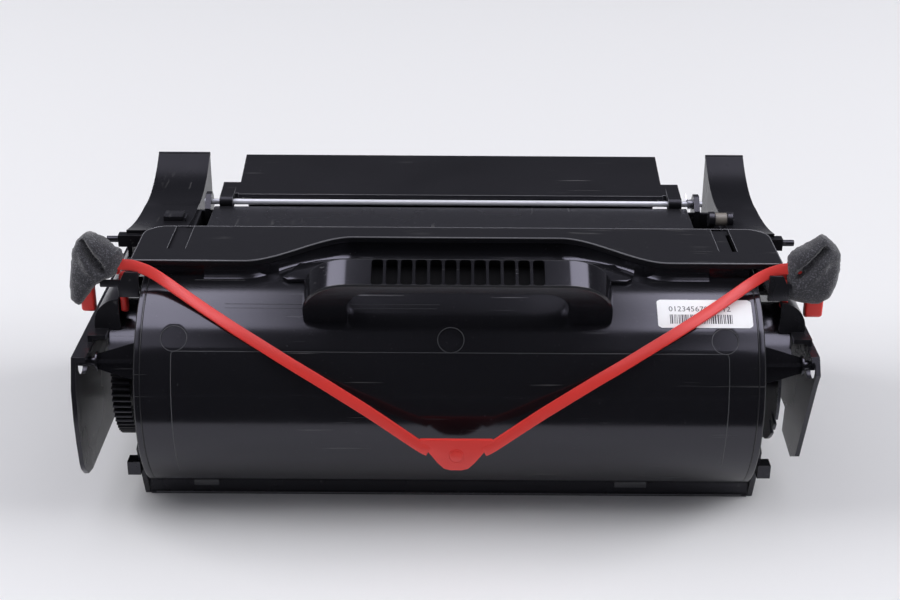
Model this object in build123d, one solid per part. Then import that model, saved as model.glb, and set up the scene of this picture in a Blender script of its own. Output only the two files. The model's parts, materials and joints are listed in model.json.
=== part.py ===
from build123d import *
from math import acos, atan2, cos, degrees, hypot, pi, radians, sin, sqrt
import os

# Toner cartridge: a round toner hopper in front, a drum unit with a hinged shutter behind it.
# X runs to the right, Y to the back, Z up. The origin lies on the pan's flat underside,
# below the axis of the hopper. All lengths are millimetres and all angles are degrees.

# Toner hopper
hopper_radius = 54.0
hopper_wall = 2.0
hopper_length = 287.0
pan_floor = 2.7
hopper_seat = 0.3
end_cap_thickness = 3.5
axis_height = pan_floor + hopper_seat + hopper_radius
round_mark_radius = 6.0
round_mark_depth = 0.3
round_mark_spacing = 125.5
round_mark_angle = 43.0

# Cover over the filling neck
cover_width = 304.0
cover_center = 3.0
cover_thickness = 3.0
cover_height = 119.0
cover_back = 32.0
cover_front = -11.0
cover_middle_front = 19.0
cover_notch_inner = 122.0
cover_notch_outer = 180.0
cover_corner_radius = 11.0
cover_groove_depth = 1.2
cover_groove_width = 8.4
cover_groove_front = 3.0
cover_groove_left = -129.7
cover_groove_right = 131.5
cover_slot_width = 1.6
neck_inset = 3.0
neck_wall = 2.0

# Carrying handle
handle_center = 3.5
handle_width = 138.0
handle_angle = 57.4
handle_depth = 13.5
handle_reach = 84.0
handle_bar = 15.0
handle_corner = 12.0
finger_gap_width = 101.0
finger_gap_corner = 5.0
handle_pockets = 12
pocket_pitch = 6.5
pocket_width = 5.0
pocket_depth = 8.0
pocket_rim = 1.6

# Paddle inside the hopper, with its drive outside
module_size = 1.0
pressure_angle = 20.0
gear_backlash = 0.25
gear_width = 8.5
gear_start = 150.0
gear_recess = 2.5
paddle_recess_outer = 25.0
paddle_recess_inner = 11.0
idler_recess_outer = 17.5
idler_recess_inner = 8.0
paddle_teeth = 61
idler_teeth = 44
developer_teeth = 16
adder_teeth = 12
drum_teeth = 34
paddle_shaft_radius = 4.0
paddle_blade_reach = 49.0
paddle_blade_thickness = 1.2
paddle_blade_gap = 2.0
paddle_windows = 6
paddle_window_half = 16.0
paddle_window_edge = 7.0
encoder_radius = 32.5
encoder_thickness = 1.6
encoder_start = 153.5
encoder_slots = (200, 214, 250)
encoder_slot_width = 3.2
encoder_slot_depth = 7.0
bush_length = 5.0
bush_wall = 4.0
hub_radius = 7.0
hub_gap = 0.5
running_fit = 0.05

# Arms on the hopper's ends, whose pins slide in slots of the side covers
arm_guard_gap = 1.5
arm_guard_wall = 2.0
arm_guard_low = 31.0
arm_guard_high = 96.0
arm_guard_reach = 159.0
arm_guard_room = 0.4
arm_distance = 40.0
arm_view = 27.0
arm_rise = 3.0
arm_root_half = 9.3
arm_tip_half = 3.4
arm_rib = 1.6
arm_tip = 163.0
arm_collar_radius = 4.6
arm_collar_width = 1.0
arm_pin_radius = 2.2
arm_pin_excess = 1.0
arm_slot_length = 18.0
arm_slot_height = 9.2
arm_slot_distance = 37.5
arm_slot_rise = 1.7

# Rollers of the drum unit
drum_radius = 15.0
drum_wall = 1.0
drum_length = 252.0
drum_back = 98.0
drum_height = 27.0
drum_axle_radius = 3.0
drum_hub_radius = 7.0
developer_radius = 9.7
developer_length = 240.0
developer_shaft_radius = 3.0
developer_drop = 2.0
adder_radius = 6.8
adder_length = 236.0
adder_shaft_radius = 2.5
adder_spacing = 17.0
charge_radius = 6.0
charge_length = 236.0
charge_shaft_radius = 3.0
charge_angle = 80.0
roller_gap = 0.3

# Drum unit frame
frame_wall = 2.5
frame_inner = 146.0
pan_front = -22.0
pan_lip_height = 8.6
frame_back = 134.0
pan_back = 24.0
pan_lip = 2.2
pan_bead = 0.8
pan_bead_height = 1.2
pan_bead_inset = 3.0
rear_foot_width = 26.0
foot_height = 6.0

# Side covers outside the frame walls
side_cover_face_left = 172.2
side_cover_face_right = 169.4
side_cover_wall = 2.2
side_cover_round = 13.0
side_cover_top = 103.0
side_cover_back = 130.0
side_cover_shoulder = 166.0
side_cover_middle = 167.9
side_cover_shelf = 88.0
side_cover_step = 84.5
side_cover_front = -20.0
side_cover_low_front = -28.0
side_cover_inner_front = 154.0
side_cover_shelf_inner = 159.5
side_cover_front_wall = 2.0
side_cover_cut_back = -5.0
side_cover_horn_gap = 0.3
horn_room_low = 80.0
side_cover_boss_wall = 2.0
post_radius = 4.0
screw_radius = 3.4
screw_height = 1.8
hook_front = -34.0
hook_back = -27.0
hook_low = 17.0
hook_high = 24.0
hook_length = 5.0

# Guide horns at the back
horn_outer = 160.0
horn_sheet = 2.4
horn_left_inner = 132.0
horn_right_inner = 139.5
horn_front = 36.0
horn_base = 115.0
horn_low_back = 84.0
horn_low = 109.4
horn_back = 132.0
horn_top = 122.8
horn_web = 2.2
horn_web_bottom = 70.0
horn_outer_bottom = 93.0
ledge_low = 107.0
ledge_top = 113.0
ledge_front = 33.5
ledge_back = 40.0
ledge_reach = 164.0
locating_pin_radius = 1.6
locating_pin_length = 6.0
locating_pin_back = 36.5
locating_pin_height = 110.0

# Waste housing and its deck
deck_half = 123.5
deck_front = 48.0
deck_back = 84.0
deck_height = 109.6
deck_sheet = 2.0
waste_bottom = 66.0
waste_wall = 2.0

# Shutter over the drum
rod_back = 88.0
rod_rise = 1.0
rod_height = deck_height + rod_rise
rod_radius = 1.5
rod_length = 258.0
shutter_half = 112.0
shutter_sheet = 2.0
shutter_drum_gap = 5.4
shutter_top_front = 92.0
shutter_top_back = 132.0
shutter_front_height = rod_height + 2.8
shutter_back_height = rod_height + 11.0
shutter_wall_back = 126.5
shutter_tip_back = 79.5
shutter_under_run = 14.0
shutter_ear_half = 121.0
shutter_ear_width = 7.0
shutter_ear_run = 8.0
shutter_ear_depth = 4.2
shutter_ear_wall = 1.9
shutter_bridge_run = 12.0
shutter_bridge_depth = 3.0
shutter_cheek_back = rod_height - 14.6
shutter_cheek_front = rod_height - 6.6
bracket_wall = 3.0
bracket_top = rod_height + 4.9
bracket_shoulder = rod_height + 1.4
bracket_bottom = rod_height - 12.6
bracket_half = 2.0

# Label, strap and foam sleeves
label_left = 95.0
label_width = 43.5
label_thickness = 0.2
label_low_angle = 48.2
label_high_angle = 63.0
strap_center = 3.2
strap_thickness = 1.8
strap_width = 5.2
strap_front = -66.0
strap_disc_radius = 3.3
strap_disc_drop = 9.5
strap_piece_half = 17.0
strap_piece_top = -1.8
strap_piece_bottom = -17.0
strap_bar_start = 147.0
strap_bar_end = 172.0
strap_bar_back = -14.5
strap_bar_front = -18.5
strap_bar_low = 58.0
strap_bar_high = 66.0
prong_back = -11.6
prong_tip = 3.0
prong_slope = 18.0
prong_low = 36.0
prong_inner = 150.5
prong_inner_width = 3.0
prong_outer = 168.7
prong_outer_width = 5.8
foam_front = -22.0
foam_back = -8.0
foam_slot_gap = 0.3
foam_slot_low = 30.0

# Roller chamber
chamber_front = 30.0
chamber_back = 76.5
chamber_floor = 3.5
chamber_roof = 42.0
chamber_wall_start = 124.0
chamber_wall = 3.5
chamber_play = 1.2
blade_sheet = 1.5
doctor_gap = 0.4
wiper_sheet = 1.8

drum_center = (drum_back, drum_height)
hopper_center = (0.0, axis_height)
rod_center = (rod_back, rod_height)

# The shutter's lip clears the drum, so its radius follows from both
shutter_lip_radius = hypot(drum_back - rod_back, drum_height - rod_height) + drum_radius + shutter_drum_gap


def disc(center, radius, start, width):
    """A round bar along X whose centre is a (Y, Z) pair."""
    circle = Plane.YZ.offset(start) * Pos(center[0], center[1]) * Circle(radius)
    return extrude(circle, amount=width, dir=(1, 0, 0))


def ring(center, outer, inner, start, width):
    return disc(center, outer, start, width) - disc(center, inner, start - 1, width + 2)


def slab(points, start, width):
    """A prism along X over an outline of (Y, Z) points."""
    outline = Plane.YZ.offset(start) * Polygon(*points, align=None)
    return extrude(outline, amount=width, dir=(1, 0, 0))


def box(x_low, x_high, y_low, y_high, z_low, z_high):
    size = (x_high - x_low, y_high - y_low, z_high - z_low)
    middle = ((x_low + x_high) / 2, (y_low + y_high) / 2, (z_low + z_high) / 2)
    return Pos(*middle) * Box(*size)


def span(side, near, far):
    """Start and width along X of what lies between two distances from the middle, on one side."""
    return (near, far - near) if side > 0 else (-far, far - near)


def meeting_point(first, first_reach, second, second_reach, turn):
    """The (Y, Z) point at given distances from two centres, on the chosen side of their line."""
    gap = hypot(second[0] - first[0], second[1] - first[1])
    along = (first_reach**2 - second_reach**2 + gap**2) / (2 * gap)
    aside = turn * sqrt(first_reach**2 - along**2)
    unit = ((second[0] - first[0]) / gap, (second[1] - first[1]) / gap)
    y = first[0] + along * unit[0] - aside * unit[1]
    z = first[1] + along * unit[1] + aside * unit[0]
    return (y, z)


def pitch_radius(teeth):
    return module_size * teeth / 2


# The roller centres follow from the drum's place and the gears that join them
developer_reach = pitch_radius(drum_teeth) + pitch_radius(developer_teeth)
developer_center = (
    drum_back - sqrt(developer_reach**2 - developer_drop**2),
    drum_height - developer_drop,
)
idler_center = meeting_point(
    hopper_center,
    pitch_radius(paddle_teeth) + pitch_radius(idler_teeth),
    developer_center,
    pitch_radius(developer_teeth) + pitch_radius(idler_teeth),
    1,
)
adder_center = meeting_point(
    developer_center,
    adder_spacing,
    idler_center,
    pitch_radius(adder_teeth) + pitch_radius(idler_teeth),
    1,
)
charge_reach = drum_radius + charge_radius + roller_gap
charge_center = (
    drum_back + charge_reach * cos(radians(charge_angle)),
    drum_height + charge_reach * sin(radians(charge_angle)),
)


def tooth_half_angle(teeth, radius):
    """Half the angle that an involute tooth fills at a radius."""
    pressure = radians(pressure_angle)
    base = pitch_radius(teeth) * cos(pressure)
    at_pitch = (pi * module_size / 2 - gear_backlash) / 2 / pitch_radius(teeth)
    if radius <= base:
        roll = 0.0
    else:
        angle = acos(base / radius)
        roll = sin(angle) / cos(angle) - angle
    return at_pitch + sin(pressure) / cos(pressure) - pressure - roll


def gear_outline(center, teeth, phase):
    """Gear outline with a straight-sided approximation of each involute flank."""
    tip = pitch_radius(teeth) + 0.95 * module_size
    root = pitch_radius(teeth) - 1.25 * module_size
    radii = (root, pitch_radius(teeth), tip)
    points = []
    for tooth in range(teeth):
        middle = radians(phase) + 2 * pi * tooth / teeth
        flank = [(r, tooth_half_angle(teeth, r)) for r in radii]
        rising = [(r, middle - half) for r, half in flank]
        falling = [(r, middle + half) for r, half in reversed(flank)]
        for r, angle in rising + falling:
            points.append((center[0] + r * cos(angle), center[1] + r * sin(angle)))
    return points


def mesh_phase(driver, driver_teeth, driver_phase, driven, driven_teeth):
    """Phase of a gear whose tooth gap takes the driver's tooth on the line of centres."""
    line = degrees(atan2(driven[1] - driver[1], driven[0] - driver[0]))
    turned = (line - driver_phase) * driver_teeth / driven_teeth
    return line + 180 + 180 / driven_teeth + turned


def gear(center, teeth, phase, bore, side_start, width):
    body = slab(gear_outline(center, teeth, phase), side_start, width)
    return body - disc(center, bore, side_start - 1, width + 2)


def hopper_point(angle, radius):
    """Point (Y, Z) round the hopper's axis, by its angle above the level front."""
    y = -radius * cos(radians(angle))
    z = axis_height + radius * sin(radians(angle))
    return (y, z)


def cover_outline(inset):
    """Plan of the cover: straight back, and a front that steps back behind the handle."""
    half = cover_width / 2 - inset
    back = cover_back - inset
    front = cover_front + inset
    middle = cover_middle_front + inset
    inner = cover_notch_inner / 2 - inset
    outer = cover_notch_outer / 2 - inset
    bend = (outer + inner) / 2
    level = (front + middle) / 2
    edges = Polyline(
        (-bend, level), (-inner, middle), (inner, middle), (bend, level), (outer, front),
        (half, front), (half, back), (-half, back), (-half, front), (-outer, front), close=True,
    )
    plan = make_face(edges)
    corners = plan.vertices().sort_by(Axis.Y)[-2:]
    plan = fillet(corners, cover_corner_radius - inset)
    steps = [v for v in plan.vertices() if abs(abs(v.X) - inner) < 0.01 or abs(abs(v.X) - outer) < 0.01]
    return fillet(steps, 7.0)


def hopper_shell():
    half = hopper_length / 2 - end_cap_thickness
    tube = disc(hopper_center, hopper_radius, -half, 2 * half)
    neck_base = axis_height + hopper_radius * 0.4
    neck_top = cover_height - cover_thickness
    limit = box(-half, half, cover_front, cover_back, neck_base, neck_top)
    neck = Pos(cover_center, 0, neck_base) * extrude(cover_outline(neck_inset), neck_top - neck_base)
    shell = tube + (neck & limit)
    inside = disc(hopper_center, hopper_radius - hopper_wall, -half - 1, 2 * half + 2)
    opening = Pos(cover_center, 0, neck_base) * extrude(cover_outline(neck_inset + neck_wall), neck_top)
    inner_limit = box(-half + neck_wall, half - neck_wall, cover_front, cover_back, neck_base, neck_top + 1)
    shell = shell - inside - (opening & inner_limit)
    slot = slab(outlet_outline(), -adder_length / 2, adder_length)
    shell = shell - slot
    for place in (-1, 0, 1):
        y, z = hopper_point(round_mark_angle, hopper_radius)
        axis = Plane((place * round_mark_spacing, y, z), z_dir=(0, y, z - axis_height))
        shell = shell - extrude(axis * Circle(round_mark_radius), amount=-round_mark_depth) \
            - extrude(axis * Circle(round_mark_radius), amount=2)
    return shell


def outlet_outline():
    """Slot from the hopper's lower back into the roller chamber."""
    near = hopper_point(-145, hopper_radius - hopper_wall - 3)
    far = hopper_point(-125, hopper_radius - hopper_wall - 3)
    far_out = hopper_point(-125, hopper_radius + 9)
    near_out = hopper_point(-145, hopper_radius + 9)
    return [near, far, far_out, near_out]


def hopper_cover():
    plate = Pos(cover_center, 0, cover_height - cover_thickness) * extrude(cover_outline(0), cover_thickness)
    for middle in (cover_groove_left, cover_groove_right):
        low = cover_height - cover_groove_depth
        groove = box(middle - cover_groove_width / 2, middle + cover_groove_width / 2,
                     cover_groove_front, cover_back + 1, low, cover_height + 1)
        plate = plate - groove
    edge = cover_groove_right + cover_groove_width / 2
    slot = box(edge - cover_slot_width, edge, cover_groove_front + 2, cover_back - 5,
               cover_height - cover_thickness - 1, cover_height + 1)
    return plate - slot


def hopper_end(side):
    start, width = span(side, hopper_length / 2 - end_cap_thickness, hopper_length / 2)
    cap = disc(hopper_center, hopper_radius, start, width)
    bush_start, bush_width = span(side, hopper_length / 2, hopper_length / 2 + bush_length)
    cap = cap + disc(hopper_center, paddle_shaft_radius + bush_wall, bush_start, bush_width)
    return cap - disc(hopper_center, paddle_shaft_radius + running_fit, start - 10, width + 20)


def side_cover_face(side):
    """How far the outer face of a side cover stands from the middle of the cartridge."""
    return side_cover_face_left if side < 0 else side_cover_face_right


def arm_point(distance, rise):
    """Point (Y, Z) at a distance from the hopper's axis along the arm's line, and off that line."""
    turn = radians(arm_view)
    y = -distance * cos(turn) + rise * sin(turn)
    z = axis_height + distance * sin(turn) + rise * cos(turn)
    return (y, z)


def arm_plate(side, near, far, offsets):
    """Tapering rib of an arm: corners are (distance, rise) pairs at its root and at its tip."""
    sections = []
    for x, (low, high, front, back) in zip((near, far), offsets):
        edges = ((front, low), (back, low), (back, high), (front, high))
        corners = [arm_point(distance, rise) for distance, rise in edges]
        sections.append(Plane.YZ.offset(side * x) * Polygon(*corners, align=None))
    return loft(sections, ruled=True)


def pin_arm(side):
    """Arm on the hopper's end: a guard over the gear or wheel, crossed ribs, a collar and a pin."""
    inner = encoder_radius + arm_guard_gap
    root = hopper_length / 2
    start, width = span(side, root, arm_guard_reach)
    angles = (arm_guard_low, (arm_guard_low + arm_guard_high) / 2, arm_guard_high)
    wedge = [hopper_center] + [hopper_point(angle, hopper_radius * 2) for angle in angles]
    arm = ring(hopper_center, inner + arm_guard_wall, inner, start, width) & slab(wedge, start, width)
    middle = arm_distance
    half = arm_rib / 2
    broad = [(arm_rise - arm_root_half, arm_rise + arm_root_half, middle + half, middle - half),
             (arm_rise - arm_tip_half, arm_rise + arm_tip_half, middle + half, middle - half)]
    deep = [(arm_rise - half, arm_rise + half, middle + arm_root_half / 2, inner + arm_guard_wall / 2),
            (arm_rise - half, arm_rise + half, middle + arm_tip_half, middle - arm_tip_half)]
    arm = arm + arm_plate(side, root, arm_tip, broad) + arm_plate(side, root, arm_tip, deep)
    center = arm_point(arm_distance, arm_rise)
    face = side_cover_face(side)
    collar_start, collar_width = span(side, arm_tip - arm_collar_width, arm_tip)
    pin_start, pin_width = span(side, arm_tip - arm_collar_width, face + arm_pin_excess)
    return arm + disc(center, arm_collar_radius, collar_start, collar_width) \
        + disc(center, arm_pin_radius, pin_start, pin_width)


def carry_handle():
    normal = Plane(
        (handle_center, 0, axis_height),
        x_dir=(1, 0, 0),
        z_dir=(0, -sin(radians(handle_angle)), -cos(radians(handle_angle))),
    )
    reach = handle_reach
    inner = handle_reach - handle_bar
    outline = Rectangle(handle_width, 2 * reach)
    outline = fillet(outline.vertices(), handle_corner)
    gap = Rectangle(finger_gap_width, 2 * inner)
    gap = fillet(gap.vertices(), finger_gap_corner)
    arch = extrude(normal * (outline - gap), handle_depth / 2, both=True)
    keep = extrude(normal * Pos(0, reach) * Rectangle(handle_width + 10, 2 * reach), 40, both=True)
    arch = arch & keep
    pocket = Rectangle(pocket_width, pocket_depth * 2)
    for index in range(handle_pockets):
        across = (index - (handle_pockets - 1) / 2) * pocket_pitch
        cut = extrude(normal * Pos(across, reach) * pocket, handle_depth / 2 - pocket_rim, both=True)
        arch = arch - cut
    return arch - disc(hopper_center, hopper_radius, -hopper_length, 2 * hopper_length)


def paddle_shaft():
    left = gear_start + gear_width + 1.0
    right = encoder_start + encoder_thickness
    return disc(hopper_center, paddle_shaft_radius, -left, left + right)


def paddle_blade():
    """Stirring blade: a sleeve on the shaft with one slotted flat vane."""
    half = hopper_length / 2 - end_cap_thickness - paddle_blade_gap
    sleeve = ring(hopper_center, paddle_shaft_radius + 2, paddle_shaft_radius, -half, 2 * half)
    root = axis_height - paddle_shaft_radius - 1.5
    low = axis_height - paddle_blade_reach
    vane = box(-half, half, -paddle_blade_thickness / 2, paddle_blade_thickness / 2, low, root)
    for index in range(paddle_windows):
        middle = (index - (paddle_windows - 1) / 2) * 2 * half / paddle_windows
        vane = vane - box(middle - paddle_window_half, middle + paddle_window_half, -5, 5,
                          low + paddle_window_edge, root - paddle_window_edge)
    return sleeve + vane


def encoder_wheel():
    wheel = ring(hopper_center, encoder_radius, paddle_shaft_radius, encoder_start, encoder_thickness)
    half = encoder_slot_width / 2
    for angle in encoder_slots:
        slot = box(encoder_start - 1, encoder_start + 4, encoder_radius - encoder_slot_depth,
                   encoder_radius + 1, -half, half)
        wheel = wheel - Pos(0, 0, axis_height) * Rot(angle, 0, 0) * slot
    inner = hopper_length / 2 + bush_length + hub_gap
    hub = ring(hopper_center, hub_radius, paddle_shaft_radius, inner, encoder_start - inner)
    return wheel + hub


def paddle_gear():
    start = -gear_start - gear_width
    toothed = gear(hopper_center, paddle_teeth, 0.0, paddle_shaft_radius, start, gear_width)
    recess = ring(hopper_center, paddle_recess_outer, paddle_recess_inner, start - 1, 1 + gear_recess)
    hub_length = gear_start - hopper_length / 2 - bush_length - hub_gap
    spacer = ring(hopper_center, hub_radius, paddle_shaft_radius, -gear_start, hub_length)
    return toothed - recess + spacer


idler_phase = mesh_phase(hopper_center, paddle_teeth, 0.0, idler_center, idler_teeth)
developer_phase = mesh_phase(idler_center, idler_teeth, idler_phase, developer_center, developer_teeth)
adder_phase = mesh_phase(idler_center, idler_teeth, idler_phase, adder_center, adder_teeth)
drum_phase = mesh_phase(developer_center, developer_teeth, developer_phase, drum_center, drum_teeth)
gear_left = -gear_start - gear_width


def idler_gear():
    toothed = gear(idler_center, idler_teeth, idler_phase, 4.0 + running_fit, gear_left, gear_width)
    recess = ring(idler_center, idler_recess_outer, idler_recess_inner, gear_left - 1, 1 + gear_recess)
    return toothed - recess


def developer_gear():
    bore = developer_shaft_radius
    return gear(developer_center, developer_teeth, developer_phase, bore, gear_left, gear_width)


def adder_gear():
    return gear(adder_center, adder_teeth, adder_phase, adder_shaft_radius, gear_left, gear_width)


def drum_gear():
    """Drum flange: plug in the tube, hub through the frame wall and the toothed rim."""
    bore = drum_axle_radius + running_fit
    toothed = gear(drum_center, drum_teeth, drum_phase, bore, gear_left, gear_width)
    hub = ring(drum_center, drum_hub_radius, bore, -gear_start, gear_start - drum_length / 2 - 2)
    rim = ring(drum_center, drum_radius, bore, -drum_length / 2 - 2, 2)
    plug = ring(drum_center, drum_radius - drum_wall, bore, -drum_length / 2, 8)
    return toothed + hub + rim + plug


def drum_flange():
    bore = drum_axle_radius + running_fit
    plug = ring(drum_center, drum_radius - drum_wall, bore, drum_length / 2 - 8, 8)
    rim = ring(drum_center, drum_radius, bore, drum_length / 2, 2)
    hub = ring(drum_center, drum_hub_radius, bore, drum_length / 2 + 2, frame_inner + 6 - drum_length / 2)
    return plug + rim + hub


def photoconductor_drum():
    return ring(drum_center, drum_radius, drum_radius - drum_wall, -drum_length / 2, drum_length)


def drum_axle():
    length = side_cover_face_left + side_cover_face_right
    return disc(drum_center, drum_axle_radius, -side_cover_face_left, length)


def developer_roller():
    start = -developer_length / 2
    return ring(developer_center, developer_radius, developer_shaft_radius, start, developer_length)


def driven_shaft(center, radius):
    right_end = frame_inner + frame_wall + 1.5
    return disc(center, radius, gear_left, right_end - gear_left)


def adder_roller():
    return ring(adder_center, adder_radius, adder_shaft_radius, -adder_length / 2, adder_length)


def charge_roller():
    return ring(charge_center, charge_radius, charge_shaft_radius, -charge_length / 2, charge_length)


def charge_shaft():
    half = frame_inner + frame_wall + 1.0
    return disc(charge_center, charge_shaft_radius, -half, 2 * half)


def chamber_outline():
    return [
        (chamber_front, chamber_floor), (chamber_back, chamber_floor), (chamber_back, chamber_roof),
        (chamber_back - 20, chamber_roof + 11), (chamber_back - 25, chamber_roof + 11),
    ]


def developer_frame():
    """Roller chamber behind the hopper: a trough with a throat to the hopper, open to the drum."""
    half = chamber_wall_start + chamber_wall
    body = slab(chamber_outline(), -half, 2 * half)
    start = -chamber_wall_start
    width = 2 * chamber_wall_start
    body = body - disc(developer_center, developer_radius + chamber_play, start, width)
    body = body - disc(adder_center, adder_radius + chamber_play, start, width)
    mouth = slab([(74, 14), (90, 14), (90, 36), (74, 36)], start, width)
    body = body - mouth - slab(outlet_outline(), -adder_length / 2, adder_length)
    body = body - disc(hopper_center, hopper_radius, -hopper_length, 2 * hopper_length)
    body = body - disc(developer_center, developer_shaft_radius + running_fit, -half - 1, 2 * half + 2)
    return body - disc(adder_center, adder_shaft_radius + running_fit, -half - 1, 2 * half + 2)


def doctor_blade():
    far = chamber_back + blade_sheet
    reach = far - developer_center[0]
    low = developer_center[1] + sqrt(developer_radius**2 - reach**2) + doctor_gap + 0.6
    half = developer_length / 2 - 2
    return box(-half, half, chamber_back, far, low, chamber_roof - 0.5)


def ramp_curve(drop):
    """Side profile of the guide ramps: down to a low point and up again to the rear."""
    fall = ThreePointArc(
        (horn_front, horn_base - drop),
        ((horn_front + horn_low_back) / 2, (horn_base + horn_low) / 2 - 1.6 - drop),
        (horn_low_back, horn_low - drop),
    )
    rise = ThreePointArc(
        (horn_low_back, horn_low - drop),
        ((horn_low_back + horn_back) / 2 + 4, horn_low + (horn_top - horn_low) * 0.23 - drop),
        (horn_back, horn_top - drop),
    )
    return fall, rise


def below_ramp(drop, bottom):
    """Face in (Y, Z) between the ramp, lowered by a drop, and a level bottom."""
    fall, rise = ramp_curve(drop)
    sides = Polyline((horn_back, horn_top - drop), (horn_back, bottom), (horn_front, bottom),
                     (horn_front, horn_base - drop))
    return make_face([fall, rise, sides])


def along_x(face, start, width):
    return extrude(Plane.YZ.offset(start) * face, amount=width, dir=(1, 0, 0))


def guide_horn(side):
    inner = horn_left_inner if side < 0 else horn_right_inner
    start, width = span(side, inner, horn_outer)
    ramp = along_x(below_ramp(0, horn_web_bottom) - below_ramp(horn_sheet, horn_web_bottom), start, width)
    for near, bottom in ((inner, horn_web_bottom), (horn_outer - horn_web, horn_outer_bottom)):
        web_start, web_width = span(side, near, near + horn_web)
        ramp = ramp + along_x(below_ramp(horn_sheet / 2, bottom), web_start, web_width)
    lip_start, lip_width = span(side, inner, horn_outer)
    lip = disc((horn_back, horn_top - horn_sheet / 2), horn_sheet / 2, lip_start, lip_width)
    ledge_start, ledge_width = span(side, frame_inner + frame_wall + 1.5, ledge_reach)
    ledge = slab([(ledge_front, ledge_low), (ledge_back, ledge_low), (ledge_back, ledge_top - 1.5),
                  (ledge_back - 1.5, ledge_top), (ledge_front, ledge_top)], ledge_start, ledge_width)
    clearance = disc(hopper_center, hopper_radius + hopper_seat, -hopper_length, 2 * hopper_length)
    return ramp + lip + ledge - clearance


def locating_pin(side):
    start, width = span(side, ledge_reach, ledge_reach + locating_pin_length)
    return disc((locating_pin_back, locating_pin_height), locating_pin_radius, start, width)


def wall_outline():
    """Side view (Y, Z) of an end wall: pan, rear foot, back, guide horn's web and the hook in front."""
    foot_back = frame_back - 8
    foot_front = foot_back - rear_foot_width
    return [
        (pan_front, 0), (pan_back, 0), (pan_back + 4, foot_height), (foot_front - 2, foot_height),
        (foot_front, 0), (foot_back, 0), (frame_back, 8), (frame_back, 92), (horn_back - 2, 124),
        (horn_front + 2, 124), (horn_front + 2, 30), (pan_back, 13), (0, 12), (-20, 21), (-30, 33),
        (hook_front, 31), (hook_back, 12),
    ]


def frame_end(side):
    """End wall of the frame with the bearings of the rollers and the posts of the side cover."""
    start, width = span(side, frame_inner, frame_inner + frame_wall)
    wall = slab(wall_outline(), start, width)
    above = below_ramp(-30, horn_web_bottom) - below_ramp(horn_sheet, horn_web_bottom)
    wall = wall - along_x(above, start - 1, width + 2)
    holes = [
        (drum_center, drum_hub_radius + 0.5),
        (developer_center, developer_shaft_radius + 0.5),
        (adder_center, adder_shaft_radius + 0.5),
        (charge_center, charge_shaft_radius + running_fit),
    ]
    for center, radius in holes:
        wall = wall - disc(center, radius, start - 1, width + 2)
    for center, far in post_places(side):
        post_start, post_width = span(side, frame_inner + frame_wall / 2, far)
        wall = wall + disc(center, post_radius, post_start, post_width)
    if side < 0:
        journal_length = gear_width + gear_start - frame_inner
        wall = wall + disc(idler_center, post_radius, gear_left - 0.5, journal_length)
    hook_start, hook_width = span(side, frame_inner + frame_wall / 2, frame_inner + frame_wall + hook_length)
    hook = [(hook_front, hook_low), (hook_back, hook_low), (hook_back, hook_high), (hook_front, hook_high)]
    return wall + slab(hook, hook_start, hook_width)


def post_places(side):
    far = side_cover_face(side) - side_cover_wall
    return [((72.0, 70.0), far), ((118.0, 60.0), far)]


def drum_frame():
    """Drum unit moulding: pan under the hopper, its front lip and the two end walls."""
    half = frame_inner + frame_wall
    floor = box(-half, half, pan_front, pan_back, 0, pan_floor)
    lip = box(-half, half, pan_front, pan_front + pan_lip, 0, pan_lip_height)
    reach = half - pan_bead_inset
    bead = box(-reach, reach, pan_front - pan_bead, pan_front, 0, pan_bead_height)
    clearance = disc(hopper_center, hopper_radius + hopper_seat, -hopper_length / 2 - 1, hopper_length + 2)
    pan = floor + lip + bead - clearance
    return pan + frame_end(-1) + frame_end(1)


def side_section(side, inset):
    """Filled front view (X, Z) of a side cover: plate, two steps and a rounded top, drawn in by an inset."""
    face = side_cover_face(side) - inset
    middle = side_cover_middle - inset
    shoulder = side_cover_shoulder - inset
    crown = side_cover_top - inset
    shelf = side_cover_shelf - inset
    step = side_cover_step - inset
    radius = side_cover_round - inset
    inner = frame_inner + frame_wall + 1.5 - inset * 3
    turn = (shoulder - radius + radius * cos(pi / 4), crown - radius + radius * sin(pi / 4))
    lines = Polyline((inner, 0), (face, 0), (face, step), (middle, step), (middle, shelf),
                     (shoulder, shelf), (shoulder, crown - radius))
    arc = ThreePointArc((shoulder, crown - radius), turn, (shoulder - radius, crown))
    rest = Polyline((shoulder - radius, crown), (inner, crown), (inner, 0))
    return make_face([lines, arc, rest])


def along_y(face, front, back):
    """A prism over a face drawn in (X, Z), between two places along Y."""
    return extrude(Plane.XZ.offset(-back) * face, amount=back - front, dir=(0, -1, 0))


def side_cover_outline(side):
    """Side view (Y, Z) of a side cover, whose plate stands forward like a fin."""
    if side < 0:
        fin = [(-44, side_cover_step), (-49.8, 70.5), (-50.9, 56), (-50, 43), (-48.3, 31.4), (-46.9, 27.6),
               (-42, 22.5), (-33.7, 20.3), (34, 20)]
    else:
        fin = [(-39, side_cover_step), (-44.3, 77.5), (-41.1, 71.2), (-22.5, 22.7), (-13.1, 17.2),
               (8.5, 19.9), (7.6, 33.5), (26, 33.8)]
    top = side_cover_top + 1
    head = [(side_cover_front, top), (side_cover_front, side_cover_shelf),
            (side_cover_low_front, side_cover_shelf), (side_cover_low_front, side_cover_step)]
    return head + fin + [(36, 21.5), (side_cover_back, 21.5), (side_cover_back, top)]


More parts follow.
